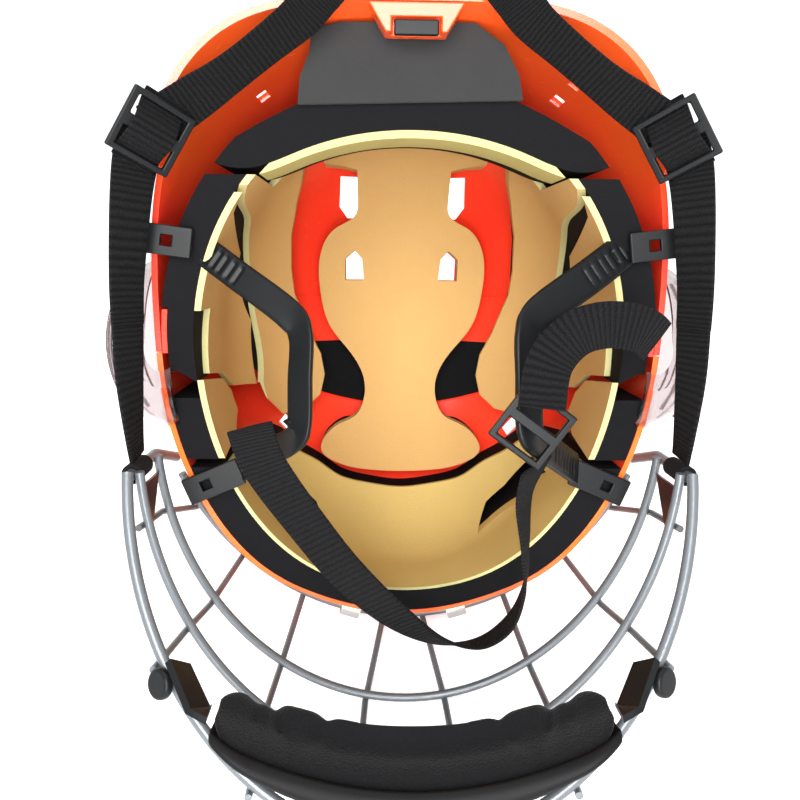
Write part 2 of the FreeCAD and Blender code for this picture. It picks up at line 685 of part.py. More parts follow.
CHIN_STRAP = (((-66, 16, -109), (0.55, -0.8, -0.2)), ((-61, 36, -102), (0.75, -0.6, -0.2)),
              ((-47, 60, -88), (0.75, -0.6, -0.2)), ((-28, 90, -77), (0.7, -0.65, -0.3)),
              ((-4, 117, -65), (0.5, -0.7, -0.6)), ((17, 131, -60), (0.2, -0.5, -0.9)),
              ((36, 132, -59), (0, -0.2, -1)), ((50, 119, -64), (-0.1, 0, -1)),
              ((55, 98, -73), (-0.2, 0, -1)), ((53, 75, -83), (-0.3, 0, -1)),
              ((50, 50, -94), (-0.5, 0, -1)), ((52, 31, -107.5), (-0.6, -0.1, -0.8)))
TAIL_STRAP = (((52, 6, -114.4), (0.85, 0.5, -0.1)), ((54, -12, -115), (0.6, 0.8, -0.1)),
              ((64, -24, -114), (0.3, 0.95, 0)), ((78, -28, -112), (0, 1, 0)),
              ((92, -26, -111), (-0.2, 1, 0)), ((99, -21, -109), (-0.3, 1, 0)))


def stations(table):
    return [(Vector(*p), Vector(*a)) for p, a in table]


node("chin_strap", ribbon(stations(CHIN_STRAP)))
node("strap_tail", ribbon(stations(TAIL_STRAP)))

# chin strap buckle: a frame with two windows, lying against the right ear loop's bar
buckle_ring = rectangle(S.webbing_width + 7, 27)
buckle_windows = tuple(("XY_Plane", rectangle(S.webbing_width + 1.5, 8.5, 0, y)) for y in (-6.5, 6.5))
buckle_turn = Rotation(Vector(0.75, 0.55, 0), Vector(-0.5, 0.75, 0.2), UP, "ZXY")
padded_body("chin_buckle", "XY_Plane", buckle_ring, "Sizes.slider_wall", buckle_windows,
            Placement(Vector(S.loop_inset + 2, 14, S.loop_front_drop - 6.5), buckle_turn))

SLIDER = Vector(107, -103, -97)
BAR_X = S.cage_half_width + (S.brow_wire_bore + S.jaw_wire_bore) / 2 + S.weld_gap


def mirrored(points, side):
    return [(Vector(side * p.x, p.y, p.z), Vector(side * a.x, a.y, a.z)) for p, a in points]


SLIDER_RUN = Vector(0.5, 0.86, 0)
START = 3.6
FRONT_SPAN = [(SLIDER + SLIDER_RUN * START, Vector(0.75, -0.44, -0.48)),
              (Vector(115, -78, -96), Vector(0.66, -0.08, -0.75)),
              (Vector(118, -45, -96), Vector(0.47, 0, -0.88)),
              (Vector(118.5, -5, -96), Vector(0.32, 0, -0.95)),
              (Vector(118, 20, -94), Vector(0.1, 0, -1)),
              (Vector(BAR_X, S.bar_place - 5.2, S.strap_height), Vector(0, 0, -1))]
REAR_SPAN = [(SLIDER - SLIDER_RUN * START, Vector(0.7, -0.6, -0.48)),
             (Vector(91, -114.5, -95), Vector(0.6, -0.55, -0.55)),
             (Vector(75, -124.7, -96.5), Vector(0.4, -0.45, -0.8)),
             (Vector(59.3, -136.2, -97.5), Vector(0.36, -0.45, -0.82)),
             (Vector(45.8, -147, -98), Vector(0.55, -0.45, -0.7)),
             (Vector(38, -157, -98.5), Vector(0.8, -0.45, -0.4)),
             (Vector(33, -163.5, -93), Vector(0.95, -0.2, -0.1)),
             (Vector(30, -161, -85), Vector(1, 0, 0)),
             (Vector(26, -153.6, -62), Vector(1, 0.1, 0)),
             (Vector(20, -143.4, -20), Vector(1, 0.2, 0))]

# ---------------------------------------------------------------- cage

def ellipse_wire(half_width, reach, middle, height, slope, end_x):
    """Arc of a tilted ellipse round the face, from one side to the other."""
    front = Vector(0, middle + reach, height)
    centre = Vector(0, middle, height - slope * reach)
    right = centre + Vector(half_width, 0, 0)
    axis = front - centre
    ellipse = Part.Ellipse(front, right, centre) if axis.Length > half_width else \
        Part.Ellipse(right, front, centre)
    share = math.sqrt(1 - (end_x / half_width) ** 2)
    ends = [centre + axis * share + Vector(s * end_x, 0, 0) for s in (1, -1)]
    arc = Part.Arc(ellipse, ellipse.parameter(ends[0]), ellipse.parameter(ends[1]))
    if arc.toShape().distToShape(Part.Vertex(front))[0] > 1:
        arc = Part.Arc(ellipse, ellipse.parameter(ends[1]), ellipse.parameter(ends[0]))
    return arc.toShape(), ends


def on_ellipse(half_width, reach, middle, height, slope, x):
    """Point of such an arc at a place across."""
    share = math.sqrt(1 - (x / half_width) ** 2)
    return Vector(x, middle + reach * share, height - slope * reach * (1 - share))


def round_bar(edge, diameter):
    """A round wire swept along one edge or a wire of edges."""
    spine = Part.Wire([edge]) if edge.ShapeType == "Edge" else edge
    first = spine.OrderedEdges[0]
    begin = first.FirstParameter if first.Orientation == "Forward" else first.LastParameter
    start = first.valueAt(begin)
    tangent = first.tangentAt(begin)
    ring = Part.Wire(Part.makeCircle(diameter / 2, start, tangent))
    return spine.makePipeShell([ring], True, False)


def bent_path(points, radius):
    """Straight runs joined by tangent arcs."""
    edges = []
    start = points[0]
    for before, corner, after in zip(points, points[1:], points[2:]):
        back = (before - corner).normalize()
        ahead = (after - corner).normalize()
        half = back.getAngle(ahead) / 2
        step = radius / math.tan(half)
        first = corner + back * step
        last = corner + ahead * step
        inward = (back + ahead).normalize()
        middle = corner + inward * (radius / math.sin(half) - radius)
        edges.append(Part.makeLine(start, first))
        edges.append(Part.Arc(first, middle, last).toShape())
        start = last
    edges.append(Part.makeLine(start, points[-1]))
    return Part.Wire(edges)


BROW = (S.shell_half_width + S.brow_wire_side, S.shell_front_reach + S.brow_wire_stand, S.shell_middle,
        S.brow_wire_height, S.brow_wire_slope)
UPPER = (S.cage_half_width, S.upper_wire_reach, S.cage_middle, S.upper_wire_height,
         S.upper_wire_slope)
LOWER = (S.cage_half_width, S.lower_wire_reach, S.cage_middle, S.lower_wire_height,
         S.lower_wire_slope)
JAW = (BAR_X, S.jaw_wire_reach, S.cage_middle, S.jaw_wire_height, S.jaw_wire_slope)


def end_across(ring, y):
    """How far out a ring's wire is at a place fore and aft."""
    return ring[0] * math.sqrt(1 - ((y - ring[2]) / ring[1]) ** 2)


brow_end = S.cage_half_width - 2
bar_back = S.bar_place - S.jaw_wire_bore / 2
for label, ring, end_x, bore in (("brow_wire", BROW, brow_end, S.brow_wire_bore),
                                 ("upper_wire", UPPER, end_across(UPPER, bar_back), S.brow_wire_bore),
                                 ("lower_wire", LOWER, end_across(LOWER, bar_back), S.brow_wire_bore),
                                 ("jaw_wire", JAW, end_across(JAW, bar_back), S.jaw_wire_bore)):
    node(label, round_bar(ellipse_wire(*ring, end_x)[0], bore))

for word, side in SIDES:
    top = on_ellipse(*BROW, brow_end)
    jaw = on_ellipse(*JAW, end_across(JAW, S.bar_place))
    reach = (S.jaw_wire_bore + S.brow_wire_bore) / 2 + S.weld_gap
    high = Vector(top.x + 2.5, top.y - 4 - reach, top.z)
    low_end = Vector(BAR_X, S.bar_place, jaw.z + S.jaw_wire_bore / 2 + 0.7)
    points = [Vector(side * p.x, p.y, p.z) for p in
              (high, Vector(BAR_X, S.bar_place, -62), low_end)]
    node(f"side_bar_{word}", round_bar(bent_path(points, 14), S.jaw_wire_bore))


def outward(ring, x, gap):
    """Point just outside a wire, on the side away from the face."""
    p = on_ellipse(*ring, x)
    normal = Vector(p.x / ring[0] ** 2, (p.y - ring[2]) / ring[1] ** 2, 0).normalize()
    return p + normal * gap


def upright(xs):
    """An upright wire, welded outside the crossing wires at the places given."""
    thin = S.upright_bore / 2
    points = []
    for ring, x, bore in zip((BROW, UPPER, LOWER, JAW), xs,
                             (S.brow_wire_bore, S.brow_wire_bore, S.brow_wire_bore, S.jaw_wire_bore)):
        if x is not None:
            points.append(outward(ring, x, bore / 2 + thin + 3 * S.weld_gap))
    first = (points[0] - points[1]).normalize() * 3
    last = (points[-1] - points[-2]).normalize() * 3
    points = [points[0] + first] + points[1:-1] + [points[-1] + last]
    return round_bar(bent_path(points, 6), S.upright_bore)


UPRIGHTS = ((10.5, 19, 21, 22), (52, 59, 62, 60), (82, 90, 94, 97), (103, 109, 110, None))
for i, xs in enumerate(UPRIGHTS, start=1):
    solid = upright(xs)
    node(f"upright_pair_{i}", Part.makeCompound(both(solid)))

gusset = []
for side in (1, -1):
    near = S.bar_place + S.jaw_wire_bore / 2 + S.webbing_wall + 0.6
    high = on_ellipse(*UPPER, end_across(UPPER, near))
    deep = on_ellipse(*LOWER, end_across(LOWER, near))
    far = on_ellipse(*LOWER, end_across(LOWER, near + 20))
    skip = Vector(0, 0, S.brow_wire_bore / 2 + S.weld_gap)
    ring = [high - skip, deep + skip, far + skip]
    ring = [Vector(side * p.x, p.y, p.z) for p in ring]
    plate = Part.Face(Part.makePolygon(ring + ring[:1]))
    gusset.append(plate.extrude(Vector(side * 1.5, 0.3, 0)))
node("gusset_plates", Part.makeCompound(gusset))

# brow clips: sleeves round the brow wire, fixed to the shell's front
clip_x = S.clip_spacing / 2
clip_point = on_ellipse(*BROW, clip_x)
sleeves = []
plugs = []
for side in (1, -1):
    point = Vector(side * clip_point.x, clip_point.y, clip_point.z)
    share = (clip_point.y - S.shell_middle) / S.shell_front_reach
    out = Vector(point.x / S.shell_half_width ** 2, share / S.shell_front_reach, 0).normalize()
    tangent = UP.cross(out)
    bore = S.brow_wire_bore / 2 + S.brow_clip_play
    start = point - tangent * (S.brow_clip_width / 2)
    sleeve = Part.makeCylinder(bore + 1.6, S.brow_clip_width, start, tangent)
    plate = Part.makeBox(S.brow_clip_width, 2.0, 16, Vector(-S.brow_clip_width / 2, 0, 0))
    face = bore + 1.6
    turn = Rotation(tangent, out, UP, "ZYX")
    plate.Placement = Placement(point + out * (face - 2.0), turn)
    sleeve = sleeve.fuse(plate)
    sleeve = sleeve.cut(Part.makeCylinder(bore, S.brow_clip_width + 2, start - tangent, tangent))
    sleeve = sleeve.cut(egg(-S.clip_gap, -200.0))
    sleeves.append(max(sleeve.Solids, key=lambda s: s.Volume))
    seat = point + Vector(0, 0, 12) + out * (face + 0.05)
    plugs.append(Part.makeCone(S.screw_head / 2, S.screw_head / 2 - 1, 2, seat, out))
node("brow_clips", Part.makeCompound(sleeves))
node("brow_screws", Part.makeCompound(plugs))

# ---------------------------------------------------------------- strap hardware and webbing ends

for word, side in SIDES:
    node(f"front_strap_{word}", ribbon(mirrored(FRONT_SPAN, side)))
    node(f"rear_strap_{word}", ribbon(mirrored(REAR_SPAN, side)))
    foot = Vector(side * BAR_X, S.bar_place, S.strap_height - S.webbing_width / 2)
    bore = S.jaw_wire_bore / 2 + S.glue_gap
    eye = Part.makeCylinder(bore + S.webbing_wall, S.webbing_width, foot, UP)
    eye = eye.cut(Part.makeCylinder(bore, S.webbing_width + 2, foot - UP, UP))
    node(f"strap_eye_{word}", eye)
    run = Vector(side * SLIDER_RUN.x, SLIDER_RUN.y, 0)
    face = Vector(side * -0.42, 0.24, -0.87).normalize()
    turn = Rotation(run.cross(face), run, face, "ZYX")
    lift = (S.slider_wall + S.webbing_wall) / 2 + 2.4
    slider = Placement(Vector(side * SLIDER.x, SLIDER.y, SLIDER.z) + face * lift, turn)
    windows = tuple(("XY_Plane", rectangle(S.webbing_width + 2, 8, 0, y)) for y in (-6.5, 6.5))
    padded_body(f"tri_glide_{word}", "XY_Plane", rectangle(S.slider_width, S.slider_length),
                "Sizes.slider_wall", windows, slider)

# ---------------------------------------------------------------- chin cup

def cup_solid(inset, low, high):
    """The chin cup's crescent, pulled in by inset."""
    half = S.cup_half_width - inset
    back = S.cup_back
    front = S.cup_reach - inset
    curve = Part.Arc(Vector(-half, back + 8, low), Vector(0, front, low),
                     Vector(half, back + 8, low)).toShape()
    inner = Part.Arc(Vector(half, back, low), Vector(0, back + 12 + inset, low),
                     Vector(-half, back, low)).toShape()
    edges = [curve, Part.makeLine(Vector(half, back + 8, low), Vector(half, back, low)), inner,
             Part.makeLine(Vector(-half, back, low), Vector(-half, back + 8, low))]
    return Part.Face(Part.Wire(edges)).extrude(Vector(0, 0, high - low))


cup = cup_solid(0, S.cup_low, S.cup_high)
hollow = cup_solid(S.cup_wall, S.cup_low + S.cup_wall, S.cup_high + 5)
back_cut = block(-FAR, FAR, -FAR, S.cup_back + 4, -FAR, FAR)
node("chin_cup", cup.cut(hollow).cut(back_cut))
cushion = cup_solid(S.cup_wall + 0.3, S.cup_low + S.cup_wall + 0.3, S.cup_high + 2)
scoop = Part.makeCylinder(60, FAR, Vector(0, -FAR / 2, S.cup_high + 52), Vector(0, 1, 0))
node("chin_cushion", cushion.cut(scoop))

SNAP_DEPTH = 4
tabs = []
snaps = []
hook = on_ellipse(*JAW, 93)
for side in (1, -1):
    inner = Vector(side * (S.cup_half_width + 0.7), S.cup_back + 4, -158)
    tip = Vector(side * (hook.x - 2.2), hook.y - S.jaw_wire_bore / 2 - 4.2, hook.z)
    level = inner + Vector(side * 4, -1, 0)
    run = (tip - level).normalize()
    tab = ribbon([(inner, UP), (level, UP), (tip + run * 0.8, UP)], 12, 3)
    away = Vector(side * 0.62, -0.2, -0.76).normalize()
    seat = Vector(side * hook.x, hook.y, hook.z) + away * (S.jaw_wire_bore / 2 + 1.8)
    snaps.append(Part.makeCylinder(S.snap_diameter / 2, SNAP_DEPTH, seat, away))
    room = Part.makeCylinder(S.snap_diameter / 2 + S.weld_gap, SNAP_DEPTH + 2 * S.weld_gap,
                             seat - away * S.weld_gap, away)
    tabs += tab.cut(room).Solids
node("cup_tabs", Part.makeCompound(tabs))
node("cup_snaps", Part.makeCompound(snaps))

# ---------------------------------------------------------------- rear latch

BOSS_FRONT = S.latch_place + 1.8
BOSS_BACK = S.shell_middle - S.tail_reach + S.rear_wall + 1
boss = Part.makePolygon([Vector(-19.5, BOSS_BACK, 0), Vector(19.5, BOSS_BACK, 0),
                         Vector(12.5, BOSS_FRONT, 0), Vector(-12.5, BOSS_FRONT, 0),
                         Vector(-19.5, BOSS_BACK, 0)])
boss = Part.Face(boss).extrude(Vector(0, 0, 13))
boss.translate(Vector(0, 0, S.tail_low - 2))
boss = boss.cut(block(-S.latch_width / 2 - 1, S.latch_width / 2 + 1, S.latch_place - 4, S.latch_place + 4,
                      S.tail_low - 5, S.tail_low + 6))
boss = boss.common(tail(S.rear_wall + S.glue_gap).fuse(block(-30, 30, -FAR, FAR, -FAR, S.tail_low)))
node("latch_boss", boss)
padded_body("latch_lever", "YZ_Plane", ((-3, -1.5), (3, -1.5), (3, 1.5), (-3, 1.5)),
            "Sizes.latch_width",
            place=Placement(Vector(0, S.latch_place, S.tail_low - 0.6), Rotation()))

# ---------------------------------------------------------------- lay it face down

def corner_points(piece):
    return piece.Shape.tessellate(0.3)[0]


doc.recompute()
ROOT_NAMES = ("front_shell", "rear_shell")
CAGE_NAMES = ("upper_wire", "lower_wire", "jaw_wire", "upright_pair_1", "upright_pair_2")
shell_points = [p for n in NODES if n.Label in ROOT_NAMES for p in corner_points(n)]
cage_points = [p for n in NODES if n.Label in CAGE_NAMES for p in corner_points(n)]


def reach(points, lean):
    direction = Vector(0, math.cos(lean), math.sin(lean))
    return max(p.dot(direction) for p in points)


low, high = math.radians(5), math.radians(60)
for _ in range(40):
    lean = (low + high) / 2
    if reach(cage_points, lean) > reach(shell_points, lean):
        low = lean
    else:
        high = lean

turn = Rotation(Vector(1, 0, 0), -90 - math.degrees(lean))
rest = Placement(Vector(0, 0, 0), turn)
box = FreeCAD.BoundBox()
for piece in NODES:
    for p in corner_points(piece):
        box.add(rest.multVec(p))
shift = Vector(-(box.XMin + box.XMax) / 2, -(box.YMin + box.YMax) / 2, -box.ZMin)
rest = Placement(shift, turn)
for piece in NODES:
    piece.Placement = rest.multiply(piece.Placement)
doc.recompute()

# ---------------------------------------------------------------- check and write

for thing in doc.Objects:
    if "Invalid" in thing.State or "Error" in thing.State:
        raise RuntimeError(f"{thing.Label} failed: {thing.State}")
unsound = [n.Label for n in NODES
           if n.Shape.isNull() or not n.Shape.isValid() or not n.Shape.Solids]
if unsound:
    raise RuntimeError("not sound solids: " + ", ".join(unsound))
print("lean", round(math.degrees(lean), 3), "shift", [round(v, 3) for v in shift])
print("nodes", len(NODES), "box", box)
os.makedirs("parts", exist_ok=True)
for piece in NODES:
    piece.Shape.exportStep(f"parts/{piece.Label}.step")
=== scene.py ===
# %% [markdown]
# # An ice hockey helmet, lying face down
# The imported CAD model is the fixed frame: every solid keeps its place and size. This lesson adds the
# looks: worn plastic, foam, webbing, wire and a padded chin cup, all in metres in the same frame.

# %% Load the frame
import bpy
import bmesh
import json
import math
from mathutils import Matrix, Vector


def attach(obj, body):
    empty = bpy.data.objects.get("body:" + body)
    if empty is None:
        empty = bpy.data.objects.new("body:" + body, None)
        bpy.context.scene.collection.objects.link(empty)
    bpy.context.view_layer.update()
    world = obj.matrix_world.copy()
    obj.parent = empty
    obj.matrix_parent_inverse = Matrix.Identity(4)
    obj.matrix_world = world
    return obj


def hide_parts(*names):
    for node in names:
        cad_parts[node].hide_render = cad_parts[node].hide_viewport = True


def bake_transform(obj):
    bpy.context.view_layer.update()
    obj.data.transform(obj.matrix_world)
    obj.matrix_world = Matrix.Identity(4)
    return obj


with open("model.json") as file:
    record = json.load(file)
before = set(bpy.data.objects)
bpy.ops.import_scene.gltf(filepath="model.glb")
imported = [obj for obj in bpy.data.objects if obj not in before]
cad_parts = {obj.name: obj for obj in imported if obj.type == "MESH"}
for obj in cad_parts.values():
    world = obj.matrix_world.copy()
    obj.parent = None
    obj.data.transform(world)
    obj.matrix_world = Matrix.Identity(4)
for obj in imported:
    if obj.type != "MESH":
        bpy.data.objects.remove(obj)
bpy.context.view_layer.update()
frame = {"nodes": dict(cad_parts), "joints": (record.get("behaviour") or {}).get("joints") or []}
nodes = frame["nodes"]
print("pieces in the frame:", len(nodes))

# %% [markdown]
# ## The wearer's own directions
# The helmet lies on its brow, so "forward" for its wearer points mostly down. Two joints in the record
# say how it lies: the rear shell slides straight back, and the cage turns on a hinge at the brow. From
# them come a forward and a crown direction, and pieces are then placed in plain wearer's millimetres.

# %% Directions from the joints
joints = {j["name"]: j for j in frame["joints"]}
BACKWARD = Vector(joints["size_adjust"]["axis"]).normalized()
FORWARD = -BACKWARD
RIGHT = Vector((1, 0, 0))
CROWN = RIGHT.cross(FORWARD).normalized()
HINGE = Vector(joints["cage_flip"]["pos_m"])
ORIGIN = HINGE - FORWARD * 0.13158 + CROWN * 0.01507


def turned(x, y, z):
    """A direction from wearer's right, forward and crown amounts."""
    return RIGHT * x + FORWARD * y + CROWN * z


def at(x, y, z):
    """A place from wearer's millimetres."""
    return ORIGIN + turned(x, y, z) / 1000


print("lean of the helmet:", round(math.degrees(math.atan2(BACKWARD.y, BACKWARD.z)), 2), "degrees")

# %% [markdown]
# ## Camera
# The camera looks up into the open helmet from below its rim. It comes first, so that every later
# choice of detail can be judged from where it will be seen.

# %% Camera
eye = at(-15.96, -53.63, -464.16)
look = turned(0.02886, 0.15922, 0.98682).normalized()
side = turned(0.99957, -0.01047, -0.02754).normalized()
above = side.cross(look).normalized()
camera_data = bpy.data.cameras.new("camera")
camera = bpy.data.objects.new("camera", camera_data)
bpy.context.collection.objects.link(camera)
turn = Matrix((side, above, -look)).transposed()
camera.matrix_world = Matrix.Translation(eye) @ turn.to_4x4()
camera_data.sensor_width = 36
camera_data.lens = 39.6
camera_data.clip_start = 0.01
bpy.context.scene.camera = camera
print("camera height:", round(eye.z, 3), "m")

# %% [markdown]
# ## Helpers for surfaces
# A material here is a Principled shader with a few noise and wave textures in front of it. Effects that
# several materials share are node groups with named sockets, so that each material sets its own values.

# %% Material helpers


def node_group(name, inputs, outputs):
    """An empty shader group with its sockets made."""
    tree = bpy.data.node_groups.new(name, "ShaderNodeTree")
    for label, kind, value in inputs:
        socket = tree.interface.new_socket(label, in_out="INPUT", socket_type=kind)
        if value is not None:
            socket.default_value = value
    for label, kind in outputs:
        tree.interface.new_socket(label, in_out="OUTPUT", socket_type=kind)
    return tree, tree.nodes.new("NodeGroupInput"), tree.nodes.new("NodeGroupOutput")


def feed(tree, socket, value):
    """Links an output to the socket, or sets the socket's own value."""
    if isinstance(value, bpy.types.NodeSocket):
        tree.links.new(value, socket)
    elif value is not None:
        socket.default_value = value


def math_node(tree, operation, a, b=None, clamp=False):
    """A Math node whose inputs are sockets or numbers; gives its output socket."""
    item = tree.nodes.new("ShaderNodeMath")
    item.operation = operation
    item.use_clamp = clamp
    feed(tree, item.inputs[0], a)
    feed(tree, item.inputs[1], b)
    return item.outputs[0]


def vector_node(tree, operation, a, b=None):
    """A Vector Math node whose inputs are sockets or vectors."""
    item = tree.nodes.new("ShaderNodeVectorMath")
    item.operation = operation
    feed(tree, item.inputs[0], a)
    feed(tree, item.inputs[1], b)
    return item


def noise(tree, place, scale, detail=3.0, roughness=0.5):
    item = tree.nodes.new("ShaderNodeTexNoise")
    item.inputs["Scale"].default_value = scale
    item.inputs["Detail"].default_value = detail
    item.inputs["Roughness"].default_value = roughness
    tree.links.new(place, item.inputs["Vector"])
    return item.outputs["Fac"]


def blend_colour(tree, factor, a, b):
    """A colour mix; factor, a and b are sockets or values."""
    item = tree.nodes.new("ShaderNodeMix")
    item.data_type = "RGBA"
    feed(tree, item.inputs["Factor"], factor)
    for socket, colour in ((item.inputs[6], a), (item.inputs[7], b)):
        feed(tree, socket, (*colour, 1.0) if isinstance(colour, tuple) else colour)
    return item.outputs[2]


def new_material(name, roughness=0.5, metallic=0.0, coat=0.0, specular=0.5):
    """A material with a Principled shader; gives it, its tree and the shader."""
    material = bpy.data.materials.new(name)
    material.use_nodes = True
    tree = material.node_tree
    shader = tree.nodes["Principled BSDF"]
    shader.inputs["Roughness"].default_value = roughness
    shader.inputs["Metallic"].default_value = metallic
    shader.inputs["Coat Weight"].default_value = coat
    shader.inputs["Specular IOR Level"].default_value = specular
    return material, tree, shader


def object_place(tree):
    return tree.nodes.new("ShaderNodeTexCoord").outputs["Object"]


def bump(tree, shader, height, distance, strength=1.0):
    item = tree.nodes.new("ShaderNodeBump")
    item.inputs["Distance"].default_value = distance
    item.inputs["Strength"].default_value = strength
    tree.links.new(height, item.inputs["Height"])
    tree.links.new(item.outputs["Normal"], shader.inputs["Normal"])


def use_group(tree, group, place, **values):
    item = tree.nodes.new("ShaderNodeGroup")
    item.node_tree = group
    tree.links.new(place, item.inputs["Place"])
    for label, value in values.items():
        item.inputs[label.replace("_", " ")].default_value = value
    return item


# %% [markdown]
# ## Shared effects
# Moulded plastic has a faint orange-peel and a few soft scuffs. Foam has closed cells: a fine grain with
# a slow mottle. Webbing has cross ribs that follow the strap, so that effect reads the strap's own UV;
# its
# Shade output is painted shade, darker in the grooves between ribs and lighter on their crests.

# %% Moulded surface, foam cells and woven ribs
MOULD, gi, go = node_group(
    "moulded surface",
    [("Place", "NodeSocketVector", None), ("Grain Size", "NodeSocketFloat", 900.0),
     ("Scuff Amount", "NodeSocketFloat", 0.15), ("Base Roughness", "NodeSocketFloat", 0.35)],
    [("Roughness", "NodeSocketFloat"), ("Height", "NodeSocketFloat"), ("Dust", "NodeSocketFloat")])
grain = MOULD.nodes.new("ShaderNodeTexNoise")
grain.inputs["Detail"].default_value = 2
MOULD.links.new(gi.outputs["Place"], grain.inputs["Vector"])
MOULD.links.new(gi.outputs["Grain Size"], grain.inputs["Scale"])
slow = noise(MOULD, gi.outputs["Place"], 28, 5, 0.6)
streak_place = vector_node(MOULD, "MULTIPLY", gi.outputs["Place"], (60, 900, 240)).outputs[0]
streak = noise(MOULD, streak_place, 1.0, 3, 0.7)
scuffs = math_node(MOULD, "MULTIPLY", math_node(MOULD, "SUBTRACT", streak, 0.62, True), slow)
scuffs = math_node(MOULD, "MULTIPLY", scuffs, gi.outputs["Scuff Amount"])
rough = math_node(MOULD, "ADD", gi.outputs["Base Roughness"], math_node(MOULD, "MULTIPLY", scuffs, 6.0))
rough = math_node(MOULD, "ADD", rough, math_node(MOULD, "MULTIPLY", slow, 0.06), True)
MOULD.links.new(rough, go.inputs["Roughness"])
MOULD.links.new(grain.outputs["Fac"], go.inputs["Height"])
MOULD.links.new(slow, go.inputs["Dust"])

FOAM, gi, go = node_group(
    "foam cells",
    [("Place", "NodeSocketVector", None), ("Cell Size", "NodeSocketFloat", 1400.0)],
    [("Tone", "NodeSocketFloat"), ("Height", "NodeSocketFloat")])
cells = FOAM.nodes.new("ShaderNodeTexVoronoi")
FOAM.links.new(gi.outputs["Place"], cells.inputs["Vector"])
FOAM.links.new(gi.outputs["Cell Size"], cells.inputs["Scale"])
mottle = noise(FOAM, gi.outputs["Place"], 45, 4, 0.6)
speck = noise(FOAM, gi.outputs["Place"], 700, 2, 0.6)
tone = math_node(FOAM, "ADD", math_node(FOAM, "MULTIPLY", mottle, 0.6),
                 math_node(FOAM, "MULTIPLY", speck, 0.4))
FOAM.links.new(tone, go.inputs["Tone"])
height = math_node(FOAM, "ADD", cells.outputs["Distance"], math_node(FOAM, "MULTIPLY", mottle, 1.5))
FOAM.links.new(height, go.inputs["Height"])

RIBS, gi, go = node_group(
    "woven ribs",
    [("Place", "NodeSocketVector", None), ("Pitch", "NodeSocketFloat", 0.0016)],
    [("Height", "NodeSocketFloat"), ("Shade", "NodeSocketFloat")])
YARNS_ACROSS = 22.0
SELVEDGE_FROM = 0.44
split = RIBS.nodes.new("ShaderNodeSeparateXYZ")
RIBS.links.new(gi.outputs["Place"], split.inputs[0])
across, along = split.outputs[0], split.outputs[1]
wobble = math_node(RIBS, "MULTIPLY", noise(RIBS, gi.outputs["Place"], 60, 2), 0.6)
phase = math_node(RIBS, "ADD", math_node(RIBS, "DIVIDE", along, gi.outputs["Pitch"]), wobble)
rib = math_node(RIBS, "ABSOLUTE", math_node(RIBS, "SINE", math_node(RIBS, "MULTIPLY", phase, math.pi)))
yarn = math_node(RIBS, "ADD", math_node(RIBS, "MULTIPLY", across, YARNS_ACROSS), phase)
yarn = math_node(RIBS, "SINE", math_node(RIBS, "MULTIPLY", yarn, math.tau))
edge = math_node(RIBS, "ABSOLUTE", math_node(RIBS, "SUBTRACT", across, 0.5))
selvedge = math_node(RIBS, "GREATER_THAN", edge, SELVEDGE_FROM)
height = math_node(RIBS, "ADD", math_node(RIBS, "MULTIPLY", rib, 0.8),
                   math_node(RIBS, "MULTIPLY", yarn, 0.12))
height = math_node(RIBS, "ADD", height, math_node(RIBS, "MULTIPLY", selvedge, 0.25))
RIBS.links.new(height, go.inputs["Height"])
# Painted shade: Shade is darker in the grooves between the ribs and lighter on their crests.
RIBS.links.new(math_node(RIBS, "POWER", rib, 0.6), go.inputs["Shade"])
print("shared effects:", MOULD.name, FOAM.name, RIBS.name)

# %% [markdown]
# ## Which way a surface faces
# A foam pad is cut from a laminated sheet: its skin is tan and its cut edges show yellow-green foam. The
# shell's inside is painted darker and redder than its outside, as painted shade and orange bounce light
# in the hollow. A small group compares the surface's normal with the direction from the middle of the
# head, and gives 1 on skins and 0 on cut edges.

# %% Facing group
SKIN_FROM = 0.62
SKIN_SHARPNESS = 8.0
head_middle = at(0, -10, 0)
FACING, gi, go = node_group(
    "facing the head",
    [("Place", "NodeSocketVector", None), ("Normal", "NodeSocketVector", None)],
    [("Skin", "NodeSocketFloat"), ("Outward", "NodeSocketFloat")])
from_head = vector_node(FACING, "SUBTRACT", gi.outputs["Place"], tuple(head_middle)).outputs[0]
rise = vector_node(FACING, "DOT_PRODUCT", from_head, tuple(CROWN)).outputs["Value"]
below = math_node(FACING, "MINIMUM", rise, 0.0)
crown_vector = FACING.nodes.new("ShaderNodeVectorMath")
crown_vector.operation = "SCALE"
crown_vector.inputs[0].default_value = tuple(CROWN)
FACING.links.new(below, crown_vector.inputs["Scale"])
flat = vector_node(FACING, "SUBTRACT", from_head, crown_vector.outputs[0]).outputs[0]
way = vector_node(FACING, "NORMALIZE", flat).outputs[0]
dot = vector_node(FACING, "DOT_PRODUCT", way, gi.outputs["Normal"]).outputs["Value"]
skin = math_node(FACING, "SUBTRACT", math_node(FACING, "ABSOLUTE", dot), SKIN_FROM)
skin = math_node(FACING, "MULTIPLY", skin, SKIN_SHARPNESS, True)
FACING.links.new(skin, go.inputs["Skin"])
FACING.links.new(math_node(FACING, "GREATER_THAN", dot, 0.0), go.inputs["Outward"])


def facing(tree, place):
    item = use_group(tree, FACING, place)
    tree.links.new(tree.nodes.new("ShaderNodeNewGeometry").outputs["Normal"], item.inputs["Normal"])
    return item


# %% [markdown]
# ## Finishes
# Each real finish becomes one material: glossy orange shell, tan laminated foam, matt black foam, nylon
# hardware, webbing, clear guards and coated wire; the tan foam has one more, lighter copy for the
# forehead pad, as painted light. The shell's colour carries painted shade inside and a painted glow in
# its tail.

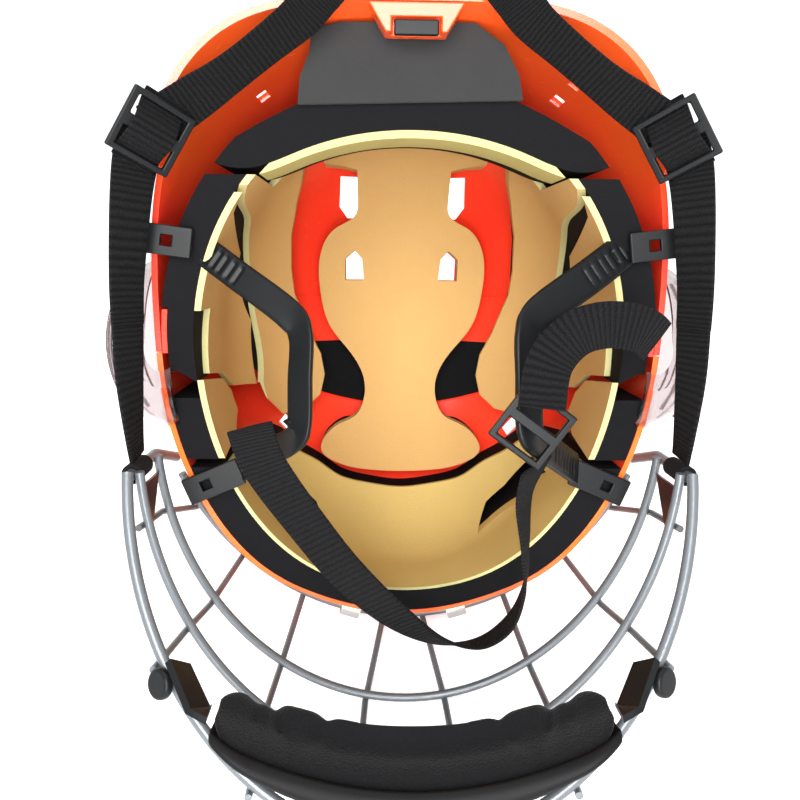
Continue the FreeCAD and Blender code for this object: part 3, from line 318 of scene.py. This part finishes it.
# %% Shell and foam finishes
# Painted shade: the shell's inside is painted darker and redder than its outside, for shade and orange
# bounce light in the hollow.
INSIDE_SHADE_RED = (1.0, 0.036, 0.016)
OUTSIDE_ORANGE = (1.0, 0.150, 0.016)
# Painted light: the low rear tail of the shell is painted one orange, lighter than the shaded inside, for
# light shining through its thin plastic.
TAIL_GLOW_ORANGE = (1.0, 0.105, 0.014)


def ramp_along(tree, place, start, direction, sharpness):
    """Rises from 0 to 1 past a place, along a direction."""
    past = vector_node(tree, "SUBTRACT", place, tuple(start)).outputs[0]
    past = vector_node(tree, "DOT_PRODUCT", past, tuple(direction)).outputs["Value"]
    return math_node(tree, "MULTIPLY", past, sharpness, True)


def shell_finish():
    material, tree, shader = new_material("orange shell", 0.25, coat=0.4)
    place = object_place(tree)
    surface = use_group(tree, MOULD, place, Grain_Size=420.0, Scuff_Amount=0.12, Base_Roughness=0.22)
    side_of = facing(tree, place)
    # Painted shade: faces turned towards the head take the darker, redder inside colour.
    colour = blend_colour(tree, side_of.outputs["Outward"], INSIDE_SHADE_RED, OUTSIDE_ORANGE)
    # Painted light: the low rear tail, inside and out, is blended to the tail glow orange.
    low = ramp_along(tree, place, at(0, 0, -22), -CROWN, 24.0)
    rear = ramp_along(tree, place, at(0, -72, 0), BACKWARD, 40.0)
    tail = math_node(tree, "MULTIPLY", low, rear)
    colour = blend_colour(tree, math_node(tree, "MULTIPLY", tail, 0.95), colour, TAIL_GLOW_ORANGE)
    dust = math_node(tree, "MULTIPLY", surface.outputs["Dust"], 0.10)
    colour = blend_colour(tree, dust, colour, (1.0, 0.22, 0.07))
    tree.links.new(colour, shader.inputs["Base Color"])
    tree.links.new(surface.outputs["Roughness"], shader.inputs["Roughness"])
    shader.inputs["Coat Roughness"].default_value = 0.12
    bump(tree, shader, surface.outputs["Height"], 0.00006, 0.35)
    return material


def foam_finish(name, skin_colour, cut_colour, roughness=0.85, cell=1400.0, depth=0.00025):
    material, tree, shader = new_material(name, roughness, specular=0.10)
    place = object_place(tree)
    cells_used = use_group(tree, FOAM, place, Cell_Size=cell)
    side_of = facing(tree, place)
    colour = blend_colour(tree, side_of.outputs["Skin"], cut_colour, skin_colour)
    dark = tuple(c * 0.72 for c in skin_colour)
    tone = math_node(tree, "MULTIPLY", cells_used.outputs["Tone"], 0.35)
    colour = blend_colour(tree, tone, colour, dark)
    tree.links.new(colour, shader.inputs["Base Color"])
    bump(tree, shader, cells_used.outputs["Height"], depth, 0.5)
    return material


ORANGE = shell_finish()
TAN = foam_finish("tan foam", (0.60, 0.375, 0.145), (0.58, 0.56, 0.27))
# Painted light: a lighter, yellower copy of the tan foam for the forehead pad, whose inner face takes the
# light from above.
PAINTED_LIT_TAN = foam_finish("painted-lit tan foam", (0.63, 0.47, 0.17), (0.60, 0.58, 0.28))
BLACK_FOAM = foam_finish("black foam", (0.005, 0.005, 0.006), (0.007, 0.007, 0.008))
GREY_SHEET = foam_finish("grey foam sheet", (0.070, 0.072, 0.070), (0.030, 0.030, 0.031),
                         0.95, 2200.0, 0.0002)
LINING = foam_finish("yellow foam", (0.50, 0.44, 0.17), (0.55, 0.51, 0.23))
print("shell and foam finishes:", ORANGE.name, TAN.name, PAINTED_LIT_TAN.name, BLACK_FOAM.name)

# %% Hardware, webbing, wire and clear finishes


def nylon_finish(name, colour, base, scuff=0.25):
    material, tree, shader = new_material(name, base, specular=0.20)
    place = object_place(tree)
    surface = use_group(tree, MOULD, place, Grain_Size=1500.0, Scuff_Amount=scuff, Base_Roughness=base)
    lighter = tuple(min(1.0, c * 2.2 + 0.004) for c in colour)
    shade = blend_colour(tree, math_node(tree, "MULTIPLY", surface.outputs["Dust"], 0.5), colour, lighter)
    tree.links.new(shade, shader.inputs["Base Color"])
    tree.links.new(surface.outputs["Roughness"], shader.inputs["Roughness"])
    bump(tree, shader, surface.outputs["Height"], 0.00008, 0.4)
    return material


def webbing_finish():
    material, tree, shader = new_material("black webbing", 0.75, specular=0.06)
    uv = tree.nodes.new("ShaderNodeTexCoord").outputs["UV"]
    ribs = use_group(tree, RIBS, uv, Pitch=0.0022)
    fibre = noise(tree, object_place(tree), 1800, 2)
    # Painted shade: the webbing is darker in the grooves between ribs and lighter on their crests.
    colour = blend_colour(tree, ribs.outputs["Shade"], (0.0015, 0.0015, 0.002), (0.011, 0.011, 0.012))
    colour = blend_colour(tree, math_node(tree, "MULTIPLY", fibre, 0.2), colour, (0.02, 0.02, 0.021))
    tree.links.new(colour, shader.inputs["Base Color"])
    shader.inputs["Sheen Weight"].default_value = 0.02
    shader.inputs["Sheen Roughness"].default_value = 0.4
    bump(tree, shader, ribs.outputs["Height"], 0.0012, 1.0)
    return material


def cloth_finish():
    material, tree, shader = new_material("cushion cloth", 0.9, specular=0.08)
    place = object_place(tree)
    fine = noise(tree, place, 1500, 2)
    slow = noise(tree, place, 30, 4)
    weave = tree.nodes.new("ShaderNodeTexVoronoi")
    weave.inputs["Scale"].default_value = 950.0
    tree.links.new(place, weave.inputs["Vector"])
    colour = blend_colour(tree, fine, (0.0025, 0.0025, 0.003), (0.008, 0.008, 0.009))
    colour = blend_colour(tree, math_node(tree, "MULTIPLY", slow, 0.4), colour, (0.010, 0.010, 0.011))
    tree.links.new(colour, shader.inputs["Base Color"])
    shader.inputs["Sheen Weight"].default_value = 0.10
    height = math_node(tree, "ADD", weave.outputs["Distance"], math_node(tree, "MULTIPLY", fine, 0.4))
    bump(tree, shader, height, 0.0004, 0.8)
    return material


def wire_finish(name, colour, warm):
    material, tree, shader = new_material(name, 0.40, metallic=0.45, coat=0.15)
    place = object_place(tree)
    surface = use_group(tree, MOULD, place, Grain_Size=2500.0, Scuff_Amount=0.5, Base_Roughness=0.28)
    shade = blend_colour(tree, math_node(tree, "MULTIPLY", surface.outputs["Dust"], 0.7), colour, warm)
    tree.links.new(shade, shader.inputs["Base Color"])
    tree.links.new(surface.outputs["Roughness"], shader.inputs["Roughness"])
    bump(tree, shader, surface.outputs["Height"], 0.00006, 0.5)
    return material


def clear_finish():
    material, tree, shader = new_material("clear guard", 0.06)
    place = object_place(tree)
    surface = use_group(tree, MOULD, place, Grain_Size=300.0, Scuff_Amount=0.3, Base_Roughness=0.05)
    shader.inputs["Base Color"].default_value = (0.80, 0.76, 0.77, 1.0)
    shader.inputs["Transmission Weight"].default_value = 1.0
    shader.inputs["IOR"].default_value = 1.49
    tree.links.new(surface.outputs["Roughness"], shader.inputs["Roughness"])
    bump(tree, shader, surface.outputs["Height"], 0.00004, 0.3)
    return material


NYLON = nylon_finish("black nylon", (0.0035, 0.004, 0.0045), 0.34)
CUP_BLACK = nylon_finish("black cup plastic", (0.003, 0.003, 0.0035), 0.50)
CUP_BLACK.node_tree.nodes["Principled BSDF"].inputs["Specular IOR Level"].default_value = 0.14
WEBBING = webbing_finish()
CLOTH = cloth_finish()
WIRE = wire_finish("coated wire", (0.185, 0.20, 0.215), (0.135, 0.145, 0.155))
GUSSET = wire_finish("brown gusset", (0.10, 0.02, 0.012), (0.06, 0.012, 0.008))
SCREW = wire_finish("plated screw", (0.50, 0.50, 0.49), (0.40, 0.39, 0.37))
CLEAR = clear_finish()
print("hardware finishes:", NYLON.name, WEBBING.name, CLOTH.name, WIRE.name, CLEAR.name)

# %% [markdown]
# ## Finishes on the frame's own solids
# A solid whose shape is already right keeps it, and only its material slots change. A soft copy of a
# solid is merged, its flat triangles joined, and a small bevel rounds its rim; below it is used on
# hardware.

# %% Give each solid its finish
FINISHES = {
    "orange": (ORANGE, ("front_shell", "rear_shell", "latch_boss")),
    "tan": (TAN, ("crown_pad", "temple_pad", "inner_side_pad", "outer_side_pad")),
    # Painted light: the forehead pad takes the lighter copy of the tan foam.
    "painted-lit tan": (PAINTED_LIT_TAN, ("forehead_pad",)),
    "black foam": (BLACK_FOAM, ("crown_backing", "forehead_liner", "overlap_strip", "temple_liner",
                                "side_liner", "nape_pad")),
    "lining": (LINING, ("nape_lining",)),
    "sheet": (GREY_SHEET, ("tail_sheet",)),
    "nylon": (NYLON, ("front_clip", "rear_clip", "ear_loop", "loop_rear_leg", "tri_glide", "chin_buckle",
                      "latch_lever", "cup_tabs", "cup_snaps")),
    "cup": (CUP_BLACK, ("chin_cup",)),
    "webbing": (WEBBING, ("strap_eye",)),
    "wire": (WIRE, ("brow_wire", "upper_wire", "lower_wire", "jaw_wire", "side_bar", "upright_pair")),
    "gusset": (GUSSET, ("gusset_plates",)),
    "screw": (SCREW, ("brow_screws", "brow_clips")),
    "clear": (CLEAR, ("ear_guard",)),
}


def finish_for(name):
    for material, stems in FINISHES.values():
        if any(name.startswith(stem) for stem in stems):
            return material
    return NYLON


for name, thing in nodes.items():
    if not thing.material_slots:
        thing.data.materials.append(finish_for(name))
    for entry in thing.material_slots:
        entry.material = finish_for(name)
print("finishes given to", len(nodes), "solids")

# %% [markdown]
# ## New pieces
# Every new piece ends as a mesh object at the origin, with its place in its points. A small helper closes
# the bmesh, gives the material, and says which body the piece rides on.

# %% Piece helper


def piece(bm, name, material, body=None, smooth=True):
    mesh = bpy.data.meshes.new(name)
    bm.to_mesh(mesh)
    bm.free()
    mesh.materials.append(material)
    if smooth:
        mesh.shade_smooth()
    thing = bpy.data.objects.new(name, mesh)
    bpy.context.collection.objects.link(thing)
    if body:
        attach(thing, body)
    return thing


def modifier(thing, kind, **values):
    item = thing.modifiers.new(kind.lower(), kind)
    for key, value in values.items():
        setattr(item, key, value)
    return item


def soft_copy(name, source, body, width, segments=3):
    """A merged copy of a solid whose sharp edges are rounded; it stands for the solid."""
    bm = bmesh.new()
    bm.from_mesh(nodes[source].data)
    bmesh.ops.remove_doubles(bm, verts=bm.verts, dist=1e-5)
    bmesh.ops.dissolve_limit(bm, angle_limit=math.radians(1.0), verts=bm.verts, edges=bm.edges)
    thing = piece(bm, name, finish_for(source), body)
    modifier(thing, "BEVEL", width=width, segments=segments, limit_method="ANGLE",
             angle_limit=math.radians(35))
    modifier(thing, "WEIGHTED_NORMAL", keep_sharp=True)
    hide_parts(source)
    return thing


# %% [markdown]
# ## Rounded edges on moulded hardware
# Clips, sliders, the buckle and the latch are moulded in nylon, so no edge on them is sharp. Each gets a
# copy of its own solid with a small bevel; nothing else about its shape changes.

# %% Rounded hardware
EDGE_ROUND = 0.0007
SNAP_ROUND = 0.0014
HARDWARE = {"helmet": ("front_clip_right", "front_clip_left", "chin_buckle"),
            "rear_shell": ("rear_clip_right", "rear_clip_left", "tri_glide_right", "tri_glide_left",
                           "latch_boss"),
            "latch": ("latch_lever",), "cage": ("cup_tabs", "cup_snaps")}
for body, names in HARDWARE.items():
    for source in names:
        soft_copy(source + "_rounded", source, body, SNAP_ROUND if source == "cup_snaps" else EDGE_ROUND)
print("rounded pieces:", sum(len(names) for names in HARDWARE.values()))

# %% [markdown]
# ## Webbing
# Webbing is a flat woven band that bends easily one way and hardly the other. A grid of faces is laid
# along a smooth line through a few stations; each station says where the middle is and which way the
# band lies across. Solidify gives the thickness, and the grid's own UV carries the ribs.

# %% Strap maker
WEBBING_WIDTH = 19.0
WEBBING_WALL = 1.6
STRAP_BOW = 0.25


def smooth_between(a, b, c, d, t):
    """A point on the smooth line from b to c, with a and d as the points beyond them."""
    bend = 2 * a - 5 * b + 4 * c - d
    twist = 3 * b - a - 3 * c + d
    return 0.5 * ((2 * b) + (c - a) * t + bend * t * t + twist * t ** 3)


def strap_line(stations, count):
    """Middles and crossways directions at even steps along the stations."""
    spots = [Vector(p) for p, _ in stations]
    leans = [Vector(a).normalized() for _, a in stations]
    line = []
    spans = len(spots) - 1
    for i in range(count + 1):
        f = min(i * spans / count, spans - 1e-6)
        k = int(f)
        t = f - k
        pick = [spots[max(k - 1, 0)], spots[k], spots[k + 1], spots[min(k + 2, spans)]]
        lean_pick = [leans[max(k - 1, 0)], leans[k], leans[k + 1], leans[min(k + 2, spans)]]
        line.append((smooth_between(*pick, t), smooth_between(*lean_pick, t).normalized()))
    return line


def strap(name, stations, width=WEBBING_WIDTH, thick=WEBBING_WALL, body=None, steps=60, material=None):
    line = strap_line(stations, steps)
    bm = bmesh.new()
    uv = bm.loops.layers.uv.new("strap")
    bmesh.ops.create_grid(bm, x_segments=6, y_segments=steps, size=0.5, calc_uvs=True)
    run = [0.0]
    for (p, _), (q, _) in zip(line, line[1:]):
        run.append(run[-1] + (q - p).length / 1000)
    for v in bm.verts:
        k = round((v.co.y + 0.5) * steps)
        middle, lean = line[k]
        ahead = (line[min(k + 1, steps)][0] - line[max(k - 1, 0)][0]).normalized()
        lean = (lean - ahead * lean.dot(ahead)).normalized()
        bow = lean.cross(ahead) * (STRAP_BOW * (1 - (2 * v.co.x) ** 2))
        v.co = at(*(middle + lean * (v.co.x * width) + bow))
    for face in bm.faces:
        for loop in face.loops:
            spot = loop[uv].uv
            spot.y = spot.y * run[-1]
    thing = piece(bm, name, material or WEBBING, body)
    modifier(thing, "SOLIDIFY", thickness=thick / 1000, offset=0.0)
    modifier(thing, "BEVEL", width=0.0005, segments=2, limit_method="ANGLE",
             angle_limit=math.radians(50))
    print(name, "length", round(run[-1] * 1000), "mm")
    return thing


# %% [markdown]
# ### Chin strap and its loose end
# The chin strap leaves the left ear loop, sags in a long curve over the brow and climbs, nearly edge on,
# to the buckle on the right loop. Its loose end comes back out of the buckle and lies over the loop.

# %% Chin strap
CHIN = [((-67, 15, -110), (0.55, -0.8, -0.2)), ((-62, 33, -103), (0.7, -0.65, -0.2)),
        ((-48, 60, -88), (0.75, -0.6, -0.2)), ((-28, 90, -77), (0.7, -0.65, -0.3)),
        ((-4, 117, -65), (0.5, -0.7, -0.6)), ((17, 131, -60), (0.2, -0.5, -0.9)),
        ((36, 132, -59), (0, -0.2, -1)), ((50, 119, -64), (-0.1, 0, -1)),
        ((55, 98, -73), (-0.2, 0, -1)), ((53, 75, -83), (-0.3, 0, -1)),
        ((50, 50, -94), (-0.5, 0, -1)), ((52, 31, -107), (-0.6, -0.1, -0.8))]
chin_strap = strap("chin_webbing", CHIN, body="helmet", steps=110)
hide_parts("chin_strap")

LOOSE = [((52, 6, -114), (0.85, 0.5, -0.1)), ((54, -12, -115), (0.6, 0.8, -0.1)),
         ((64, -24, -114), (0.3, 0.95, 0)), ((78, -28, -112), (0, 1, 0)),
         ((92, -26, -111), (-0.2, 1, 0)), ((99, -21, -109), (-0.3, 1, 0))]
loose_end = strap("loose_webbing", LOOSE, body="helmet", steps=50)
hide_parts("strap_tail")

# %% [markdown]
# ### Side straps
# On each side a strap runs from the back of the rear shell, through a three-bar slider, to a loop round
# the cage's side bar. Its front span is held by the rear shell at one end and by the cage at the other,
# so it is made in two lengths: one from the slider to the side of the helmet, the other from there to the
# cage. Neither length rides on a body.

# %% Side straps
SLIDER = Vector((107, -103, -97))
SLIDER_RUN = Vector((0.5, 0.86, 0))
SPAN_BACK = [(SLIDER + SLIDER_RUN * 1.2, (0.75, -0.44, -0.48)),
             (SLIDER + SLIDER_RUN * 9, (0.75, -0.34, -0.56)),
             ((115, -78, -96), (0.66, -0.08, -0.75)), ((118, -45, -96), (0.47, 0, -0.88)),
             ((118.4, -25, -96), (0.40, 0, -0.92))]
SPAN_FRONT = [((118.4, -25, -96), (0.40, 0, -0.92)), ((118.5, -5, -96), (0.32, 0, -0.95)),
              ((118, 20, -94), (0.1, 0, -1)), ((117.45, 31.8, -93), (0, 0, -1))]
REAR_SPAN = [(SLIDER - SLIDER_RUN * 1.2, (0.7, -0.6, -0.48)), ((91, -114.5, -95), (0.6, -0.55, -0.55)),
             ((75, -124.7, -96.5), (0.4, -0.45, -0.8)), ((59.3, -136.2, -97.5), (0.36, -0.45, -0.82)),
             ((45.8, -147, -98), (0.55, -0.45, -0.7)), ((38, -157, -98.5), (0.8, -0.45, -0.4)),
             ((33, -163.5, -93), (0.95, -0.2, -0.1)), ((30, -161, -85), (1, 0, 0)),
             ((26, -153.6, -62), (1, 0.1, 0)), ((20, -143.4, -20), (1, 0.2, 0))]
SLIDER_FACE = Vector((-0.42, 0.24, -0.87)).normalized()
OVER_BAR = ((-15, 1.7), (-11, 1.9), (-7, 4.4), (-2.5, 7.9), (2.5, 7.9), (7, 4.4), (11, 1.9), (15, 1.7))


def mirrored(stations, sign):
    return [((p[0] * sign, p[1], p[2]), (a[0] * sign, a[1], a[2])) for p, a in stations]


for word, sign in (("right", 1), ("left", -1)):
    back = strap(f"side_webbing_back_{word}", mirrored(SPAN_BACK, sign), steps=40)
    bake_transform(back)
    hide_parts(f"front_strap_{word}")
    front = strap(f"side_webbing_front_{word}", mirrored(SPAN_FRONT, sign), steps=40)
    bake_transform(front)
    rear = strap(f"rear_webbing_{word}", mirrored(REAR_SPAN, sign), body="rear_shell", steps=80)
    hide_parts(f"rear_strap_{word}")
    over = [(SLIDER + SLIDER_RUN * step + SLIDER_FACE * lift, (0.75, -0.44, -0.48))
            for step, lift in OVER_BAR]
    over_bar = strap(f"slider_webbing_{word}", mirrored(over, sign), width=18.0, body="rear_shell",
                     steps=40)

# %% [markdown]
# ## Ear loops
# Each ear loop is one nylon strip that leaves a clip on the rear shell, turns two corners beside the
# ear and returns to a clip on the front shell. Its legs have a sunken ladder of ridges between raised
# borders. It is one grid along a rounded line, sunk between the ridges and given its thickness last.

# %% Ear loops
LOOP_WIDTH = 13.0
LOOP_THICK = 3.0
RUNG_PITCH = 4.2
RUNG_DEPTH = 0.9
LADDER_FROM, LADDER_TO = 6, 34
LOOP_CORNER = 0.11


def loop_line(sign):
    """Stations of an ear loop, from the rear clip to the front clip."""
    rear, front = Vector((47, -26, -92)), Vector((47, 20, -104))
    rear_top, front_top = Vector((100, -62.4, -67.2)), Vector((77, 45, -58))
    rear_leg, bar, front_leg = rear - rear_top, front - rear, front_top - front
    spots = [rear_top, rear - rear_leg * 0.55, rear - rear_leg * LOOP_CORNER,
             rear + bar * 0.10, rear + bar * 0.5, front - bar * 0.10,
             front + front_leg * LOOP_CORNER, front + front_leg * 0.55, front_top]
    normal_rear = bar.cross(rear_top - rear).normalized()
    normal_front = bar.cross(front_top - front).normalized()
    normals = [normal_rear] * 3 + [(normal_rear + normal_front) / 2] * 3 + [normal_front] * 3
    stations = []
    for i, (spot, normal) in enumerate(zip(spots, normals)):
        ahead = spots[min(i + 1, 8)] - spots[max(i - 1, 0)]
        lean = normal.cross(ahead).normalized()
        stations.append((tuple(spot), tuple(lean)))
    return mirrored(stations, sign)


def ear_loop(word, sign):
    """One nylon strip with ladders near both of its ends."""
    steps, columns = 300, 14
    line = strap_line(loop_line(sign), steps)
    run = [0.0]
    for (p, _), (q, _) in zip(line, line[1:]):
        run.append(run[-1] + (q - p).length)
    bm = bmesh.new()
    bmesh.ops.create_grid(bm, x_segments=columns, y_segments=steps, size=0.5)
    for v in bm.verts:
        k = round((v.co.y + 0.5) * steps)
        middle, lean = line[k]
        ahead = (line[min(k + 1, steps)][0] - line[max(k - 1, 0)][0]).normalized()
        lean = (lean - ahead * lean.dot(ahead)).normalized()
        out = lean.cross(ahead)
        if out.z > 0:
            out = -out
        from_end = min(run[k], run[-1] - run[k])
        ladder = LADDER_FROM < from_end < LADDER_TO
        inside = abs(v.co.x) < 0.33
        rung = (from_end % RUNG_PITCH) < RUNG_PITCH * 0.5
        lift = -RUNG_DEPTH if ladder and inside and not rung else 0.0
        if abs(v.co.x) > 0.42:
            lift -= 0.5 * (abs(v.co.x) - 0.42) / 0.08
        v.co = at(*(middle + lean * (v.co.x * LOOP_WIDTH) + out * (LOOP_THICK / 2 + lift)))
    bmesh.ops.recalc_face_normals(bm, faces=bm.faces)
    thing = piece(bm, f"ear_loop_whole_{word}", NYLON)
    modifier(thing, "SOLIDIFY", thickness=LOOP_THICK / 1000, offset=-1.0)
    print(thing.name, "length", round(run[-1]), "mm")
    return thing


for word, sign in (("right", 1), ("left", -1)):
    whole = ear_loop(word, sign)
    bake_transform(whole)
    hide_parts(f"ear_loop_{word}", f"loop_rear_leg_{word}")

# %% [markdown]
# ## Ridges on the clear guards
# Clear plastic is seen by its edges. Each guard is stiffened by raised ridges, and without them it would
# vanish against a pale table. The ridges are real; their dark pink tint is painted reflection along them.

# %% Guard ridges
GUARD_SIDE, GUARD_MIDDLE, GUARD_RISE = 111, -13, -47
GUARD_HALF, GUARD_BULGE = 40, 29
RIDGES = ((-38, -34, 12), (-20, -42, 20), (2, -46, 24), (24, -44, 20))
DARK_TINTED_RIDGE = clear_finish()
DARK_TINTED_RIDGE.name = "clear guard ridge tinted dark"
# Painted reflection: the clear ridges are tinted dark pink to stand for the dark, reflecting lines along
# them.
DARK_TINTED_RIDGE.node_tree.nodes["Principled BSDF"].inputs["Base Color"].default_value = (0.20, 0.15, 0.16, 1.0)


def guard_ridge(sign, turn_angle, first, last, lift=0.5):
    """Stations over the guard's bulge at one angle round its axis, in degrees."""
    angle = math.radians(turn_angle)
    stations = []
    for i in range(7):
        y = first + (last - first) * i / 6
        swell = math.sqrt(max(0.0, 1 - ((y - GUARD_MIDDLE) / GUARD_HALF) ** 2))
        out = Vector((math.cos(angle), 0, math.sin(angle)))
        spot = Vector((GUARD_SIDE, y, GUARD_RISE)) + out * (GUARD_BULGE * swell + lift)
        lean = Vector((-math.sin(angle), 0, math.cos(angle)))
        stations.append(((spot.x, spot.y, spot.z), tuple(lean)))
    return mirrored(stations, sign)


for word, sign in (("right", 1), ("left", -1)):
    for i, (turn_angle, first, last) in enumerate(RIDGES):
        ridge = strap(f"guard_ridge_{word}_{i}", guard_ridge(sign, turn_angle, first, last),
                      width=2.4, thick=1.4, body="helmet", steps=36, material=DARK_TINTED_RIDGE)

# %% [markdown]
# ## Chin cushion and cup
# The chin rests in a cloth-covered pad with a high back wall, a hollow and a rolled front lip; its cloth
# bunches into folds at both ends. The pad is one tube of sections from end to end, each section running
# up the back wall, over the lip and round the far side. The hard cup under it is a thin curved skin.

# %% Sections from end to end
CUP_HALF = 74.0


def cup_lines(u):
    """Inner and outer plan points of the cup at u, from -1 at the left end to 1 at the right."""
    x = CUP_HALF * u
    inner = Vector((x, 124.5 - 13.5 * u * u, 0))
    outer = Vector((x * 1.01, 149.0 - 30.0 * u * u, 0))
    return inner, outer


PAD_SECTION = ((0.00, -145), (0.06, -141), (0.25, -139), (0.50, -139.5), (0.62, -144), (0.80, -151),
               (0.97, -158), (0.97, -166), (0.88, -170), (0.70, -171.5), (0.52, -171), (0.42, -168),
               (0.37, -164), (0.38, -159.5), (0.40, -155), (0.30, -150.5), (0.12, -147.5))
PAD_MIDDLE = (0.45, -154.0)
PAD_ROUND_FROM = 0.84
FOLD_LEVEL = -155
# Each fold: how far it stands out, its place from the middle, its slant and its width.
FOLDS = ((4.2, 50, 0.35, 3.2), (2.8, 61, 0, 3.0), (2.6, 40, -0.5, 3.0))
HOLLOW_DEPTH, HOLLOW_HALF = 8.0, 34


def sweep(section, columns, place):
    """A closed skin from a ring of section points carried from one end to the other."""
    bm = bmesh.new()
    rings = []
    for i in range(columns + 1):
        u = -1 + 2 * i / columns
        ring = [bm.verts.new(at(*place(u, s, z))) for s, z in section]
        rings.append([bm.edges.new((a, b)) for a, b in zip(ring, ring[1:] + ring[:1])])
        if i in (0, columns):
            bm.faces.new(ring if i else ring[::-1])
    for first, second in zip(rings, rings[1:]):
        bmesh.ops.bridge_loops(bm, edges=first + second)
    bmesh.ops.recalc_face_normals(bm, faces=bm.faces)
    return bm


def pad_place(u, s, z):
    """Where a point of the pad's section lies at u, with the end's rounding, folds and hollow."""
    inner, outer = cup_lines(u)
    end = max(0.0, abs(u) - PAD_ROUND_FROM) / (1 - PAD_ROUND_FROM)
    middle_s, middle_z = PAD_MIDDLE
    fullness = math.sqrt(1 - 0.85 * end ** 3)
    z = middle_z + (z - middle_z) * fullness
    spot = inner.lerp(outer, middle_s + (s - middle_s) * fullness)
    x = abs(u) * CUP_HALF
    back = 1.0 if s < 0.35 else 0.25
    fold = 0.0
    for height, place, slant, width in FOLDS:
        fold += height * math.exp(-((x - place - slant * (z - FOLD_LEVEL)) / width) ** 2)
    wave = 0.5 * math.sin(x / 3.1 + z / 4.0) * math.exp(-((z + 158) / 5) ** 2)
    dip = HOLLOW_DEPTH * math.exp(-(x / HOLLOW_HALF) ** 4) * max(0.0, (z + 150) / 12)
    return (spot.x, spot.y + back * (fold + wave), z - dip)


bm = sweep(PAD_SECTION, 150, pad_place)
long_edges = [e for e in bm.edges if e.calc_length() > 0.0022]
bmesh.ops.subdivide_edges(bm, edges=long_edges, cuts=1, use_grid_fill=True)
for _ in range(3):
    bmesh.ops.smooth_vert(bm, verts=bm.verts, factor=0.4, use_axis_x=True, use_axis_y=True,
                          use_axis_z=True)
cushion = piece(bm, "chin_pad", CLOTH, body="cage")
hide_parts("chin_cushion")
print("cushion points:", len(cushion.data.vertices))

# %% Hard cup
CUP_SECTION = ((0.50, -172.2), (0.66, -174.5), (0.84, -174.6), (0.97, -170), (1.01, -160), (1.02, -141),
               (1.10, -141), (1.10, -158), (1.06, -171), (0.92, -178), (0.66, -178.2), (0.46, -174.6))


def cup_place(u, s, z):
    """Where a point of the cup's section lies at u; the cup gets shallower towards its ends."""
    inner, outer = cup_lines(u)
    end = max(0.0, abs(u) - 0.8) / 0.2
    z = -156 + (z + 156) * (1 - 0.3 * end * end)
    spot = inner.lerp(outer, s)
    return (spot.x * 1.012, spot.y, z)


bm = sweep(CUP_SECTION, 72, cup_place)
hard_cup = piece(bm, "cup_skin", CUP_BLACK, body="cage")
modifier(hard_cup, "SUBSURF", levels=1, render_levels=1)
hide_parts("chin_cup")
print("cup points:", len(hard_cup.data.vertices))

# %% [markdown]
# ## Floor and light
# The helmet lies on a plain pale table under soft studio light. The floor shows white to the camera but
# still takes the helmet's shadow. Two lamps light the outside from above, and two more beside the
# camera reach into the opening, because a deep shell would otherwise stay dark inside.

# %% Floor
bm = bmesh.new()
bmesh.ops.create_grid(bm, x_segments=1, y_segments=1, size=6.0)
floor_material, tree, shader = new_material("pale table", 0.6, specular=0.2)
shader.inputs["Base Color"].default_value = (0.93, 0.93, 0.93, 1)
paper = noise(tree, object_place(tree), 300, 2)
bump(tree, shader, paper, 0.00005, 0.2)
shader.inputs["Emission Color"].default_value = (1, 1, 1, 1)
seen_directly = tree.nodes.new("ShaderNodeLightPath").outputs["Is Camera Ray"]
tree.links.new(math_node(tree, "MULTIPLY", seen_directly, 0.42), shader.inputs["Emission Strength"])
floor = piece(bm, "table", floor_material, smooth=False)
floor.data.transform(Matrix.Translation((0, 0, -0.0005)))

# %% World and lamps
world = bpy.data.worlds.new("studio")
bpy.context.scene.world = world
world.use_nodes = True
tree = world.node_tree
background = tree.nodes["Background"]
light_path = tree.nodes.new("ShaderNodeLightPath")
rays = light_path.outputs
seen = math_node(tree, "MAXIMUM", rays["Is Camera Ray"], rays["Is Glossy Ray"])
seen = math_node(tree, "MAXIMUM", seen, rays["Is Transmission Ray"])
background.inputs["Color"].default_value = (1, 1, 1, 1)
strength = math_node(tree, "ADD", math_node(tree, "MULTIPLY", seen, 0.35), 0.65)
tree.links.new(strength, background.inputs["Strength"])


def lamp(name, place, target, size, power):
    data = bpy.data.lights.new(name, "AREA")
    data.shape = "DISK"
    data.size = size
    data.energy = power
    thing = bpy.data.objects.new(name, data)
    bpy.context.collection.objects.link(thing)
    aim = (Vector(target) - Vector(place)).to_track_quat("-Z", "Y")
    thing.matrix_world = Matrix.Translation(place) @ aim.to_matrix().to_4x4()
    return thing


lamp("overhead lamp", (0.1, 0.5, 1.5), (0, 0, 0.1), 1.2, 8)
lamp("front lamp", (-0.6, -1.3, 1.2), (0, 0, 0.1), 1.0, 8)
lamp("opening lamp", tuple(eye + above * 0.2 - look * 1.1), tuple(at(0, 10, 20)), 0.9, 22)
lamp("low lamp", tuple(eye - above * 0.35 - look * 0.7), tuple(at(0, -60, -60)), 0.6, 12)
bpy.context.scene.view_settings.view_transform = "Standard"
